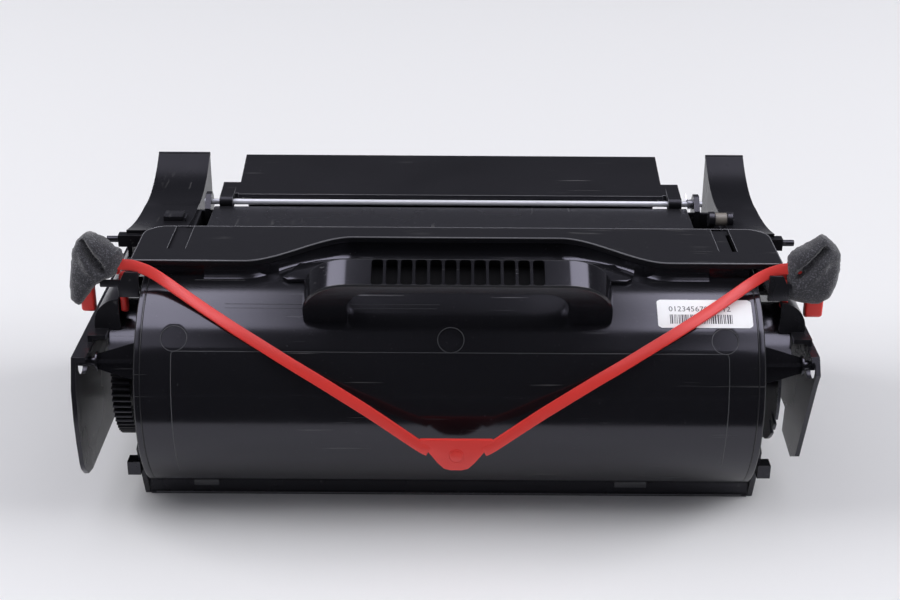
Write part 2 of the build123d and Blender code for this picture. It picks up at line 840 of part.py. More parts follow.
def arm_slot(side):
    """Rounded slot in the side cover for the pin of the hopper's arm."""
    half = arm_slot_height / 2
    reach = arm_slot_length / 2 - half
    start, width = span(side, side_cover_middle - side_cover_wall - 1, side_cover_face(side) + 1)
    near = arm_point(arm_slot_distance - reach, arm_slot_rise)
    far = arm_point(arm_slot_distance + reach, arm_slot_rise)
    corners = [arm_point(arm_slot_distance + along * reach, arm_slot_rise + rise * half)
               for along, rise in ((-1, -1), (1, -1), (1, 1), (-1, 1))]
    return disc(near, half, start, width) + disc(far, half, start, width) + slab(corners, start, width)


def side_cover_front_piece(side):
    """Front of a side cover: a closing wall above the shelf, and the shelf that bridges to the fin."""
    inner = side_cover_inner_front
    low = side_cover_shelf - side_cover_wall
    back = side_cover_front + side_cover_front_wall
    wall = along_y(side_section(side, 0), side_cover_front, back)
    if side < 0:
        wall = mirror(wall, about=Plane.YZ)
    start, width = span(side, inner, side_cover_face(side))
    crown = side_cover_top
    above = [(side_cover_front, low), (back, low), (back, crown), (side_cover_front, crown)]
    wall = wall & slab(above, start, width)
    start, width = span(side, inner - 1, arm_guard_reach + arm_guard_room)
    guard = encoder_radius + arm_guard_gap + arm_guard_wall
    wall = wall - disc(hopper_center, guard + arm_guard_room, start, width)
    shelf_start, shelf_width = span(side, side_cover_shelf_inner, side_cover_middle - side_cover_wall / 2)
    shelf = [(side_cover_low_front, low), (back, low), (back, side_cover_shelf),
             (side_cover_low_front, side_cover_shelf)]
    return wall + slab(shelf, shelf_start, shelf_width)


def side_cover(side):
    """Outer cover at one end: the plate that stands forward like a fin and the wall above it."""
    band = side_section(side, 0) - side_section(side, side_cover_wall)
    shell = along_y(band, hopper_center[0] - hopper_radius, side_cover_back)
    if side < 0:
        shell = mirror(shell, about=Plane.YZ)
    start, width = span(side, frame_inner, side_cover_face(side) + 1)
    cover = shell & slab(side_cover_outline(side), start, width)
    top = side_cover_top + 1
    strap_room = [(side_cover_front - 1, side_cover_shelf + 1), (side_cover_cut_back, side_cover_shelf + 1),
                  (side_cover_cut_back, top), (side_cover_front - 1, top)]
    room_start, room_width = span(side, frame_inner, side_cover_inner_front)
    cover = cover - slab(strap_room, room_start, room_width)
    horn_start, horn_width = span(side, frame_inner, horn_outer + side_cover_horn_gap)
    back = side_cover_back + 1
    horn_room = [(horn_front - 3, horn_room_low), (back, horn_room_low), (back, top), (horn_front - 3, top)]
    cover = cover - slab(horn_room, horn_start, horn_width)
    cover = cover + side_cover_front_piece(side) - arm_slot(side)
    boss_start, boss_width = span(side, side_cover_face(side) - side_cover_wall - 3, side_cover_face(side))
    cover = cover + disc(drum_center, drum_axle_radius + side_cover_boss_wall, boss_start, boss_width)
    return cover - disc(drum_center, drum_axle_radius, boss_start - 5, boss_width + 10)


def waste_outline():
    """Side profile of the waste housing; its slanted front keeps the light slit open."""
    return [(75.5, waste_bottom), (deck_back, waste_bottom), (deck_back, deck_height - deck_sheet),
            (deck_front, deck_height - deck_sheet)]


def waste_housing():
    """Box that collects the wiped toner, with the two brackets that hold the shutter's rod."""
    left = -horn_left_inner
    length = horn_left_inner + horn_right_inner
    outer = slab(waste_outline(), left, length)
    inner_face = offset(Polygon(*waste_outline(), align=None), amount=-waste_wall)
    inside = along_x(inner_face, left + waste_wall, length - 2 * waste_wall)
    opening = box(left + waste_wall, left + length - waste_wall, deck_front + 5, deck_back - waste_wall,
                  deck_height - deck_sheet - 4, deck_height + 1)
    housing = outer - inside - opening
    front = deck_back - 2 * bracket_half
    back = rod_back + 2 * bracket_half
    plate = [(front, bracket_bottom), (back, bracket_bottom), (back + 1, bracket_shoulder),
             (rod_back + bracket_half, bracket_top), (rod_back - bracket_half, bracket_top),
             (front, deck_height)]
    for start in (-rod_length / 2 + 1, rod_length / 2 - 2):
        housing = housing + slab(plate, start, bracket_wall)
    return housing - disc((rod_back, rod_height), rod_radius, -200, 400)


def waste_cover():
    return box(-deck_half, deck_half, deck_front, deck_back, deck_height - deck_sheet, deck_height)


def cleaning_bracket():
    half = drum_length / 2 - 6
    return box(-half, half, deck_back, deck_back + 1.4, 46, waste_bottom + 8)


def cleaning_blade():
    half = drum_length / 2 - 8
    near = deck_back + 1.4
    reach = drum_back - near - wiper_sheet
    low = drum_height + sqrt(drum_radius**2 - reach**2) + 0.4
    return box(-half, half, near, near + wiper_sheet, low, 56)


def shutter_rod():
    return disc((rod_back, rod_height), rod_radius, -rod_length / 2, rod_length + 3)


def shutter_top_point(run, drop):
    """Point (Y, Z) at a run behind the front edge of the shutter's sloped top and a drop below it."""
    rise = atan2(shutter_back_height - shutter_front_height, shutter_top_back - shutter_top_front)
    y = shutter_top_front + run * cos(rise) + drop * sin(rise)
    z = shutter_front_height + run * sin(rise) - drop * cos(rise)
    return (y, z)


def shutter_lip_point(y):
    """Point of the shutter's outer lip, which is a circle round the rod."""
    reach = shutter_lip_radius + shutter_sheet
    return (y, rod_height - sqrt(reach**2 - (y - rod_back) ** 2))


def drum_shutter():
    """Shutter: a sloped top, a rear wall and a lip that curves under the drum, on two ears."""
    top_front = (shutter_top_front, shutter_front_height)
    top_back = (shutter_top_back, shutter_back_height)
    low_back = shutter_lip_point(shutter_wall_back)
    under = shutter_lip_point(rod_back + shutter_under_run)
    tip = shutter_lip_point(shutter_tip_back)
    whole = make_face([Polyline(tip, top_front, top_back, low_back), ThreePointArc(low_back, under, tip)])
    inside = offset(whole, amount=-shutter_sheet)
    low = tip[1] + 1.25 * shutter_sheet
    high = shutter_front_height - shutter_sheet
    mouth = Polygon((deck_front, low), (shutter_tip_back + 1.75 * shutter_sheet, low),
                    (shutter_top_front + 1.2 * shutter_sheet, high), (deck_front, high), align=None)
    shutter = along_x(whole - inside - mouth, -shutter_half, 2 * shutter_half)
    hub = rod_radius + shutter_ear_wall
    cheek = [top_front, top_back, (shutter_top_back - 1.5, shutter_cheek_back),
             (shutter_wall_back - 21.5, shutter_cheek_front)]
    ear = [(rod_back - hub * 0.6, rod_height), (rod_back, rod_height + hub * 0.95),
           shutter_top_point(shutter_ear_run, 0), shutter_top_point(shutter_ear_run, shutter_ear_depth),
           (rod_back + hub * 0.3, rod_height - hub * 0.95)]
    bridge = [shutter_top_point(0, shutter_bridge_depth), shutter_top_point(1, 0),
              shutter_top_point(shutter_bridge_run, 0),
              shutter_top_point(shutter_bridge_run, shutter_bridge_depth)]
    for side in (-1, 1):
        cheek_start, cheek_width = span(side, shutter_half - shutter_sheet, shutter_half)
        ear_start, ear_width = span(side, shutter_ear_half - shutter_ear_width, shutter_ear_half)
        bridge_start, bridge_width = span(side, shutter_half - shutter_sheet, shutter_ear_half)
        shutter = shutter + slab(cheek, cheek_start, cheek_width) + slab(ear, ear_start, ear_width)
        shutter = shutter + disc(rod_center, hub, ear_start, ear_width)
        shutter = shutter + slab(bridge, bridge_start, bridge_width)
    return shutter - disc(rod_center, rod_radius + running_fit, -rod_length, 2 * rod_length)


def barcode_label():
    start, width = label_left, label_width
    shell = ring(hopper_center, hopper_radius + label_thickness, hopper_radius, start, width)
    low = hopper_point(label_low_angle, hopper_radius * 2)
    high = hopper_point(label_high_angle, hopper_radius * 2)
    return shell & slab([hopper_center, low, high], start, width)


# Stations of the strap's arms: reach from the strap's middle, Y, height above the hopper's axis,
# and the angle at which the ribbon's face looks up from the level front
strap_stations = [
    (12.5, -66.0, -7.2, 0), (17.2, -65.9, -4.4, 0), (37.0, -62.5, 8.7, 8), (49.6, -58.8, 15.6, 15),
    (62.4, -54.1, 21.9, 22), (75.2, -49.2, 27.8, 30), (88.2, -44.0, 34.0, 38), (101.2, -38.6, 40.1, 46),
    (114.6, -31.5, 46.0, 52), (128.3, -23.6, 52.1, 45), (135.3, -19.6, 55.4, 38), (142.2, -17.2, 58.8, 32),
    (148.9, -16.5, 61.2, 28), (153.0, -16.5, 61.8, 25),
]


def strap_arm(side):
    """One arm as a ribbon: flat sections set across the arm's run, joined by straight stretches."""
    places = [Vector(strap_center + side * x, y, axis_height + z) for x, y, z, _ in strap_stations]
    sections = []
    for index, (_, _, _, lean) in enumerate(strap_stations):
        before = places[max(0, index - 1)]
        after = places[min(len(places) - 1, index + 1)]
        run = (after - before).normalized()
        outward = Vector(0, -cos(radians(lean)), sin(radians(lean)))
        across = outward.cross(run).normalized()
        plane = Plane(places[index], x_dir=across, z_dir=run)
        sections.append(plane * Rectangle(strap_width, strap_thickness))
    return loft(sections, ruled=True)


def strap_wedge(side):
    """End of the strap: a bar with two prongs that straddle the wall of the side cover."""
    low = axis_height + strap_bar_low
    high = axis_height + strap_bar_high
    tip = axis_height + prong_low
    start, width = span(side, strap_bar_start, strap_bar_end)
    bar = [(strap_bar_front, low), (strap_bar_back, low), (strap_bar_back, high), (strap_bar_front, high)]
    wedge = slab(bar, start, width)
    prong = [(strap_bar_front, high), (prong_back, high), (prong_back, tip), (prong_back - prong_tip, tip),
             (strap_bar_front, tip + prong_slope)]
    for near, thick in ((prong_inner, prong_inner_width), (prong_outer, prong_outer_width)):
        prong_start, prong_width = span(side, near, near + thick)
        wedge = wedge + slab(prong, prong_start, prong_width)
    return wedge


def shipping_strap():
    """Strap that holds the hopper and the drum unit together: a middle piece, two arms and two wedges."""
    half = strap_piece_half
    top = axis_height + strap_piece_top
    bottom = axis_height + strap_piece_bottom
    left = strap_center - half
    right = strap_center + half
    shoulder = bottom + 3
    piece = Polygon((left, top), (right, top), (strap_center + half / 2, shoulder),
                    (strap_center + 3, bottom), (strap_center - 3, bottom),
                    (strap_center - half / 2, shoulder), align=None)
    strap = along_y(piece, strap_front - strap_thickness / 2, strap_front + strap_thickness / 2)
    button = Plane((strap_center, strap_front, axis_height - strap_disc_drop), z_dir=(0, -1, 0))
    strap = strap + extrude(button * Circle(strap_disc_radius), strap_thickness)
    return strap + strap_arm(-1) + strap_arm(1) + strap_wedge(-1) + strap_wedge(1)


def foam_sleeve(side):
    """Foam sleeve folded over one end of the strap, pinched where the strap comes out."""
    if side < 0:
        outline = [(-153.0, 59.0), (-153.0, 68.5), (-155.5, 69.5), (-162.0, 74.0), (-166.5, 76.0),
                   (-170.5, 76.0), (-174.0, 72.0), (-175.5, 63.5), (-175.0, 47.5), (-171.5, 44.0),
                   (-164.5, 53.0), (-161.5, 55.0), (-153.5, 59.0)]
    else:
        outline = [(158.0, 66.5), (165.0, 71.0), (171.0, 75.5), (174.5, 76.5), (180.0, 71.0), (180.5, 67.5),
                   (179.5, 60.5), (175.0, 49.0), (165.0, 46.5), (156.0, 50.0), (157.0, 58.5)]
    points = [(x, axis_height + z) for x, z in outline]
    sleeve = along_y(Polygon(*points, align=None), foam_front, foam_back)
    low = axis_height + foam_slot_low
    high = axis_height + strap_bar_high + foam_slot_gap
    start, width = span(side, strap_bar_start - 1, prong_outer + prong_outer_width + foam_slot_gap)
    slot = slab([(strap_bar_front - foam_slot_gap, low), (prong_back + foam_slot_gap, low),
                 (prong_back + foam_slot_gap, high), (strap_bar_front - foam_slot_gap, high)], start, width)
    return sleeve - slot


def screw(center, side, seat):
    start, width = span(side, seat, seat + screw_height)
    return disc(center, screw_radius, start, width)


def cover_screws():
    heads = []
    for side in (-1, 1):
        for center, far in post_places(side):
            heads.append(screw(center, side, far + side_cover_wall))
    return Compound(children=heads)


pieces = {
    "hopper_shell": hopper_shell,
    "hopper_cover": hopper_cover,
    "hopper_end_left": lambda: hopper_end(-1),
    "hopper_end_right": lambda: hopper_end(1),
    "carry_handle": carry_handle,
    "paddle_shaft": paddle_shaft,
    "paddle_blade": paddle_blade,
    "pin_arm_left": lambda: pin_arm(-1),
    "pin_arm_right": lambda: pin_arm(1),
    "encoder_wheel": encoder_wheel,
    "paddle_gear": paddle_gear,
    "idler_gear": idler_gear,
    "developer_gear": developer_gear,
    "adder_gear": adder_gear,
    "drum_gear": drum_gear,
    "drum_flange": drum_flange,
    "photoconductor_drum": photoconductor_drum,
    "drum_axle": drum_axle,
    "developer_roller": developer_roller,
    "developer_shaft": lambda: driven_shaft(developer_center, developer_shaft_radius),
    "adder_roller": adder_roller,
    "adder_shaft": lambda: driven_shaft(adder_center, adder_shaft_radius),
    "charge_roller": charge_roller,
    "charge_shaft": charge_shaft,
    "developer_frame": developer_frame,
    "doctor_blade": doctor_blade,
    "drum_frame": drum_frame,
    "side_cover_left": lambda: side_cover(-1),
    "side_cover_right": lambda: side_cover(1),
    "guide_horn_left": lambda: guide_horn(-1),
    "guide_horn_right": lambda: guide_horn(1),
    "locating_pin_left": lambda: locating_pin(-1),
    "locating_pin_right": lambda: locating_pin(1),
    "waste_housing": waste_housing,
    "waste_cover": waste_cover,
    "cleaning_bracket": cleaning_bracket,
    "cleaning_blade": cleaning_blade,
    "shutter_rod": shutter_rod,
    "drum_shutter": drum_shutter,
    "barcode_label": barcode_label,
    "shipping_strap": shipping_strap,
    "foam_sleeve_left": lambda: foam_sleeve(-1),
    "foam_sleeve_right": lambda: foam_sleeve(1),
    "cover_screws": cover_screws,
}

if __name__ == "__main__":
    os.makedirs("parts", exist_ok=True)
    for name, make in pieces.items():
        export_step(make(), f"parts/{name}.step")
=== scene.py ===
import bmesh
import bpy
import json
import math
import random
from mathutils import Matrix, Vector, noise


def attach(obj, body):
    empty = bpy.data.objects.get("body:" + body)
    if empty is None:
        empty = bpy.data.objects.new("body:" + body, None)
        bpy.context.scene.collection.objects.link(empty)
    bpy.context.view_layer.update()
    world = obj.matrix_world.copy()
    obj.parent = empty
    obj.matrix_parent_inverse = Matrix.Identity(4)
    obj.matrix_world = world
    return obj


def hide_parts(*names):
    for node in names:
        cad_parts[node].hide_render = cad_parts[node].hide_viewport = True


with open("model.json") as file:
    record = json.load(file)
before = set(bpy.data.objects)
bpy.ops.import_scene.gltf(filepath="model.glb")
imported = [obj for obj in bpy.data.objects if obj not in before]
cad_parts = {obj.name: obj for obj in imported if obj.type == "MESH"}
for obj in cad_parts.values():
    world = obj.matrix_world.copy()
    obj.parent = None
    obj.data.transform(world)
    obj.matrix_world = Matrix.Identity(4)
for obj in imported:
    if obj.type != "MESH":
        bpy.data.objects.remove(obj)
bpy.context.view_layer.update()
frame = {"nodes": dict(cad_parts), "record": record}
mm = 0.001
print("stage: frame loaded")

# Camera, table, lamps and room
cameraSettings = {"distance": 752 * mm, "elevation": 27.0, "pitch": 24.4, "roll": 0.35,
                  "aim": (0.0, 0.0, 57 * mm), "lens": 61.6, "sensor": 36.0, "nearest": 0.01}
tableLook = {"half": 8, "tint": (0.85, 0.85, 0.875), "roughness": 0.5}
flagLook = {"half": 3, "front": -4, "edge": -0.15, "lift": 0.001,
            "tint": (0.01, 0.01, 0.012), "roughness": 0.9}
lampLook = {"height": 2.5, "near": 0.38, "far": 2.3, "front": -1.0, "back": 1.05,
            "power": 62.0, "tint": (0.90, 0.885, 1.0), "white": (1.0, 1.0, 1.0),
            "fillPower": 24.0, "sidePower": 66.0, "sidePlace": (2.6, 0.15, 1.85),
            "sideTilt": 62, "sideSize": (2.4, 1.4),
            "veilFront": -2.3, "veils": ((-1, 0.60, 7.0), (1, 0.66, 15.0))}
roomLook = {"dome": (0.30, 0.30, 0.32), "backdrop": (0.80, 0.80, 0.83),
            "low": (0.04, 0.04, 0.045), "high": (0.15, 0.15, 0.18), "highFrom": 0.9}


def makeCamera():
    c = cameraSettings
    data = bpy.data.cameras.new("productCamera")
    data.lens = c["lens"]
    data.sensor_width = c["sensor"]
    data.clip_start = c["nearest"]
    camera = bpy.data.objects.new("productCamera", data)
    bpy.context.scene.collection.objects.link(camera)
    lift = math.radians(c["elevation"])
    offset = Vector((0, -math.cos(lift), math.sin(lift))) * c["distance"]
    turn = Matrix.Rotation(math.radians(90 - c["pitch"]), 4, "X")
    roll = Matrix.Rotation(math.radians(c["roll"]), 4, "Z")
    camera.matrix_world = Matrix.Translation(Vector(c["aim"]) + offset) @ turn @ roll
    bpy.context.scene.camera = camera


def meshObject(name, verts, faces, smooth=False):
    mesh = bpy.data.meshes.new(name)
    mesh.from_pydata(verts, [], faces)
    mesh.update()
    piece = bpy.data.objects.new(name, mesh)
    bpy.context.scene.collection.objects.link(piece)
    if smooth:
        for face in mesh.polygons:
            face.use_smooth = True
    return piece


def flatPlane(name, low, high, height):
    verts = [(low[0], low[1], height), (high[0], low[1], height),
             (high[0], high[1], height), (low[0], high[1], height)]
    return meshObject(name, verts, [(0, 1, 2, 3)])


def areaLamp(name, place, turn, size, power, tint):
    data = bpy.data.lights.new(name, "AREA")
    data.shape = "RECTANGLE"
    data.size, data.size_y = size
    data.energy = power
    data.color = tint
    lamp = bpy.data.objects.new(name, data)
    lamp.location = place
    lamp.rotation_euler = turn
    bpy.context.scene.collection.objects.link(lamp)
    return lamp


def plainFinish(name, tint, roughness):
    finish = bpy.data.materials.new(name)
    finish.use_nodes = True
    shader = finish.node_tree.nodes["Principled BSDF"]
    shader.inputs["Base Color"].default_value = (*tint, 1)
    shader.inputs["Roughness"].default_value = roughness
    return finish


def makeTable():
    half = tableLook["half"]
    floor = flatPlane("studioFloor", (-half, -half), (half, half), 0.0)
    floor.data.materials.append(plainFinish("paleTable", tableLook["tint"], tableLook["roughness"]))
    # a dark card that only reflections see, as the unlit room in front of the table
    look = flagLook
    flag = flatPlane("darkFlag", (-look["half"], look["front"]), (look["half"], look["edge"]),
                     look["lift"])
    flag.data.materials.append(plainFinish("flagCloth", look["tint"], look["roughness"]))
    flag.visible_camera = False
    flag.visible_diffuse = False
    flag.visible_shadow = False


def makeLamps():
    look = lampLook
    near, far, front, back = (look[key] for key in ("near", "far", "front", "back"))
    for side in (-1, 1):
        place = (side * (near + far) / 2, (front + back) / 2, look["height"])
        size = (far - near, back - front)
        # the bright boxes show in the gloss, the weaker ones light the table
        shine = areaLamp("softBox", place, (0, 0, 0), size, look["power"], look["tint"])
        shine.visible_diffuse = False
        glow = areaLamp("fillBox", place, (0, 0, 0), size, look["fillPower"], look["white"])
        glow.visible_glossy = False
        across, ahead, up = look["sidePlace"]
        turn = (math.radians(look["sideTilt"]), 0,
                math.radians(90 * side) + math.atan2(ahead, across) * side)
        low = areaLamp("sideFill", (side * across, ahead, up), turn, look["sideSize"],
                       look["sidePower"], look["white"])
        low.visible_glossy = False
    # dimmer boxes in front of the bright ones, for the haze on the ends of the hopper
    for side, start, power in look["veils"]:
        place = (side * (start + far) / 2, (front + look["veilFront"]) / 2, look["height"])
        veil = areaLamp("veilBox", place, (0, 0, 0), (far - start, front - look["veilFront"]),
                        power, look["tint"])
        veil.visible_diffuse = False


def makeRoom():
    look = roomLook
    world = bpy.data.worlds.new("studioRoom")
    bpy.context.scene.world = world
    world.use_nodes = True
    tree = world.node_tree
    place = tree.nodes.new("ShaderNodeTexCoord")
    split = tree.nodes.new("ShaderNodeSeparateXYZ")
    ramp = tree.nodes.new("ShaderNodeValToRGB")
    rays = tree.nodes.new("ShaderNodeLightPath")
    mix = tree.nodes.new("ShaderNodeMix")
    mix.data_type = "RGBA"
    tree.links.new(place.outputs["Generated"], split.inputs[0])
    tree.links.new(split.outputs["Y"], ramp.inputs[0])
    ramp.color_ramp.elements[0].position = 0.0
    ramp.color_ramp.elements[0].color = (*look["low"], 1)
    ramp.color_ramp.elements[1].position = look["highFrom"]
    ramp.color_ramp.elements[1].color = (*look["high"], 1)
    mix.inputs[6].default_value = (*look["dome"], 1)
    tree.links.new(rays.outputs["Is Glossy Ray"], mix.inputs[0])
    tree.links.new(ramp.outputs[0], mix.inputs[7])
    # the camera sees a pale backdrop behind the table
    behind = tree.nodes.new("ShaderNodeMix")
    behind.data_type = "RGBA"
    behind.inputs[7].default_value = (*look["backdrop"], 1)
    tree.links.new(rays.outputs["Is Camera Ray"], behind.inputs[0])
    tree.links.new(mix.outputs[2], behind.inputs[6])
    tree.links.new(behind.outputs[2], tree.nodes["Background"].inputs["Color"])
    bpy.context.scene.view_settings.view_transform = "Standard"


makeCamera()
makeTable()
makeLamps()
makeRoom()
print("stage: camera, table and lamps")


# Finishes: each is a dictionary of what a user would change
def nodeKit(name):
    material = bpy.data.materials.new(name)
    material.use_nodes = True
    tree = material.node_tree
    shader = tree.nodes["Principled BSDF"]
    place = tree.nodes.new("ShaderNodeTexCoord")

    def add(kind, **sockets):
        node = tree.nodes.new(kind)
        for key, value in sockets.items():
            node.inputs[key].default_value = value
        return node

    def join(source, target):
        tree.links.new(source, target)

    return material, shader, place.outputs["Object"], add, join


def noiseOf(add, join, where, scale, detail=2.0, stretch=None, rough=0.5):
    if stretch:
        mapping = add("ShaderNodeMapping")
        mapping.inputs["Scale"].default_value = stretch
        join(where, mapping.inputs["Vector"])
        where = mapping.outputs[0]
    texture = add("ShaderNodeTexNoise", Scale=scale, Detail=detail, Roughness=rough)
    join(where, texture.inputs["Vector"])
    return texture.outputs["Fac"]


def stepOf(add, join, value, low, high, toLow=0.0, toHigh=1.0):
    node = add("ShaderNodeMapRange")
    node.clamp = True
    for index, amount in enumerate((low, high, toLow, toHigh), start=1):
        node.inputs[index].default_value = amount
    join(value, node.inputs[0])
    return node.outputs[0]


def product(add, join, first, second):
    node = add("ShaderNodeMath")
    node.operation = "MULTIPLY"
    join(first, node.inputs[0])
    if isinstance(second, float):
        node.inputs[1].default_value = second
    else:
        join(second, node.inputs[1])
    return node.outputs[0]


def total(add, join, first, second):
    node = add("ShaderNodeMath")
    node.operation = "ADD"
    join(first, node.inputs[0])
    join(second, node.inputs[1])
    return node.outputs[0]


def blendTints(add, join, amount, first, second):
    node = add("ShaderNodeMix")
    node.data_type = "RGBA"
    join(amount, node.inputs[0])
    for index, tint in ((6, first), (7, second)):
        if isinstance(tint, tuple):
            node.inputs[index].default_value = (*tint, 1)
        else:
            join(tint, node.inputs[index])
    return node.outputs[2]


def bumpOf(add, join, height, strength, depth, before=None):
    node = add("ShaderNodeBump", Strength=strength, Distance=depth)
    join(height, node.inputs["Height"])
    if before is not None:
        join(before, node.inputs["Normal"])
    return node.outputs[0]


# marks that all the mouldings share: clouded gloss, scratches in patches, dust
wearLook = {"cloud": 22.0, "scratchRange": (0.66, 0.72), "patch": 30.0, "patchRange": (0.5, 0.62),
            "speck": 1400.0, "speckRange": (0.76, 0.80), "roughen": 0.25,
            "grainDepth": 0.00006, "shine": (0.89, 0.88, 1.0)}


def mouldedPlastic(name, look):
    material, shader, where, add, join = nodeKit(name)
    shared = wearLook
    tint = look["tint"]
    wear = tuple(min(1.0, c + look["wear"]) for c in tint)
    cloud = noiseOf(add, join, where, shared["cloud"], 3.0)
    fine = noiseOf(add, join, where, look["grain"], 2.0)
    along = stepOf(add, join, noiseOf(add, join, where, 1.0, 2.0, look["streak"]),
                   *shared["scratchRange"])
    patch = stepOf(add, join, noiseOf(add, join, where, shared["patch"], 1.0),
                   *shared["patchRange"])
    scratch = product(add, join, along, patch)
    speck = stepOf(add, join, noiseOf(add, join, where, shared["speck"], 1.0),
                   *shared["speckRange"])
    marks = total(add, join, product(add, join, scratch, look["scratches"]),
                  product(add, join, speck, look["dust"]))
    join(blendTints(add, join, marks, tint, wear), shader.inputs["Base Color"])
    rough = total(add, join, stepOf(add, join, cloud, 0.3, 0.7, look["rough"] - look["vary"],
                                    look["rough"] + look["vary"]),
                  product(add, join, marks, shared["roughen"]))
    join(rough, shader.inputs["Roughness"])
    shader.inputs["IOR"].default_value = look["ior"]
    shader.inputs["Specular Tint"].default_value = (*look.get("shine", shared["shine"]), 1)
    join(bumpOf(add, join, fine, look["bump"], shared["grainDepth"]), shader.inputs["Normal"])
    return material


glossBlack = {"tint": (0.0065, 0.0065, 0.0082), "wear": 0.10, "grain": 2500.0, "bump": 0.04,
              "streak": (14.0, 700.0, 700.0), "scratches": 0.5, "dust": 0.5, "rough": 0.16,
              "vary": 0.03, "ior": 1.55}
satinBlack = {"tint": (0.0062, 0.0062, 0.0074), "wear": 0.12, "grain": 2200.0, "bump": 0.25,
              "streak": (24.0, 900.0, 500.0), "scratches": 0.7, "dust": 0.7, "rough": 0.36,
              "vary": 0.05, "ior": 1.40}
frameBlack = {"tint": (0.0095, 0.0095, 0.0115), "wear": 0.10, "grain": 1800.0, "bump": 0.15,
              "streak": (300.0, 40.0, 300.0), "scratches": 0.4, "dust": 0.5, "rough": 0.27,
              "vary": 0.05, "ior": 1.50}
gearBlack = {"tint": (0.009, 0.009, 0.0105), "wear": 0.08, "grain": 1500.0, "bump": 0.1,
             "streak": (200.0, 90.0, 90.0), "scratches": 0.3, "dust": 0.3, "rough": 0.30,
             "vary": 0.04, "ior": 1.50}
wheelGrey = dict(gearBlack, tint=(0.035, 0.036, 0.042), wear=0.15, dust=0.4)
strapRed = {"tint": (0.70, 0.038, 0.030), "wear": 0.10, "grain": 900.0, "bump": 0.12,
            "streak": (60.0, 120.0, 500.0), "scratches": 0.25, "dust": 0.15, "rough": 0.34,
            "vary": 0.04, "ior": 1.48, "shine": (1.0, 0.97, 1.0)}


def brushedSteel(name):
    material, shader, where, add, join = nodeKit(name)
    lines = noiseOf(add, join, where, 1.0, 3.0, (1500.0, 120.0, 120.0))
    cloud = noiseOf(add, join, where, 60.0, 2.0)
    join(blendTints(add, join, cloud, (0.50, 0.50, 0.54), (0.66, 0.66, 0.70)),
         shader.inputs["Base Color"])
    join(stepOf(add, join, lines, 0.3, 0.7, 0.22, 0.36), shader.inputs["Roughness"])
    shader.inputs["Metallic"].default_value = 1.0
    join(bumpOf(add, join, lines, 0.08, 0.00003), shader.inputs["Normal"])
    return material


def polishedRod(name):
    material, shader, where, add, join = nodeKit(name)
    cloud = noiseOf(add, join, where, 40.0, 2.0)
    join(blendTints(add, join, cloud, (0.64, 0.65, 0.72), (0.76, 0.77, 0.85)),
         shader.inputs["Base Color"])
    shader.inputs["Metallic"].default_value = 0.25
    shader.inputs["Roughness"].default_value = 0.3
    return material


def smoothRoller(name, tint, edge, rough, grain, bump):
    material, shader, where, add, join = nodeKit(name)
    cloud = noiseOf(add, join, where, 35.0, 3.0)
    fine = noiseOf(add, join, where, grain, 2.0)
    join(blendTints(add, join, cloud, tint, edge), shader.inputs["Base Color"])
    join(stepOf(add, join, fine, 0.3, 0.7, rough - 0.04, rough + 0.04), shader.inputs["Roughness"])
    join(bumpOf(add, join, fine, bump, 0.0001), shader.inputs["Normal"])
    return material


def speckledFoam(name):
    material, shader, where, add, join = nodeKit(name)
    cells = noiseOf(add, join, where, 1300.0, 3.0, None, 0.7)
    cloud = noiseOf(add, join, where, 90.0, 2.0)
    base = blendTints(add, join, cloud, (0.018, 0.018, 0.023), (0.032, 0.032, 0.039))
    flecks = stepOf(add, join, cells, 0.52, 0.66)
    join(blendTints(add, join, flecks, base, (0.12, 0.12, 0.14)), shader.inputs["Base Color"])
    shader.inputs["Roughness"].default_value = 0.95
    shader.inputs["Sheen Weight"].default_value = 0.4
    join(bumpOf(add, join, cells, 0.9, 0.0004), shader.inputs["Normal"])
    return material


finishes = {
    "hopper_plastic": mouldedPlastic("hopperGloss", glossBlack),
    "cover_plastic": mouldedPlastic("coverSatin", satinBlack),
    "frame_plastic": mouldedPlastic("frameMoulding", frameBlack),
    "gear_plastic": mouldedPlastic("gearMoulding", gearBlack),
    "wheel_plastic": mouldedPlastic("wheelMoulding", wheelGrey),
    "steel": brushedSteel("turnedSteel"),
    "rod_steel": polishedRod("rodSteel"),
    "drum_coating": smoothRoller("drumLayer", (0.02, 0.10, 0.13), (0.025, 0.12, 0.15),
                                 0.12, 900.0, 0.02),
    "roller_rubber": smoothRoller("rollerRubber", (0.02, 0.02, 0.022), (0.03, 0.03, 0.033),
                                  0.55, 2500.0, 0.2),
    "roller_foam": smoothRoller("rollerSponge", (0.05, 0.05, 0.055), (0.08, 0.08, 0.085),
                                0.85, 1500.0, 0.6),
    "blade_rubber": smoothRoller("wiperRubber", (0.30, 0.17, 0.08), (0.36, 0.21, 0.10),
                                 0.5, 1800.0, 0.1),
    "strap_plastic": mouldedPlastic("strapRed", strapRed),
    "foam": speckledFoam("packingFoam"),
    "label_paper": smoothRoller("labelPaper", (0.86, 0.86, 0.90), (0.90, 0.90, 0.93),
                                0.45, 1500.0, 0.05),
}
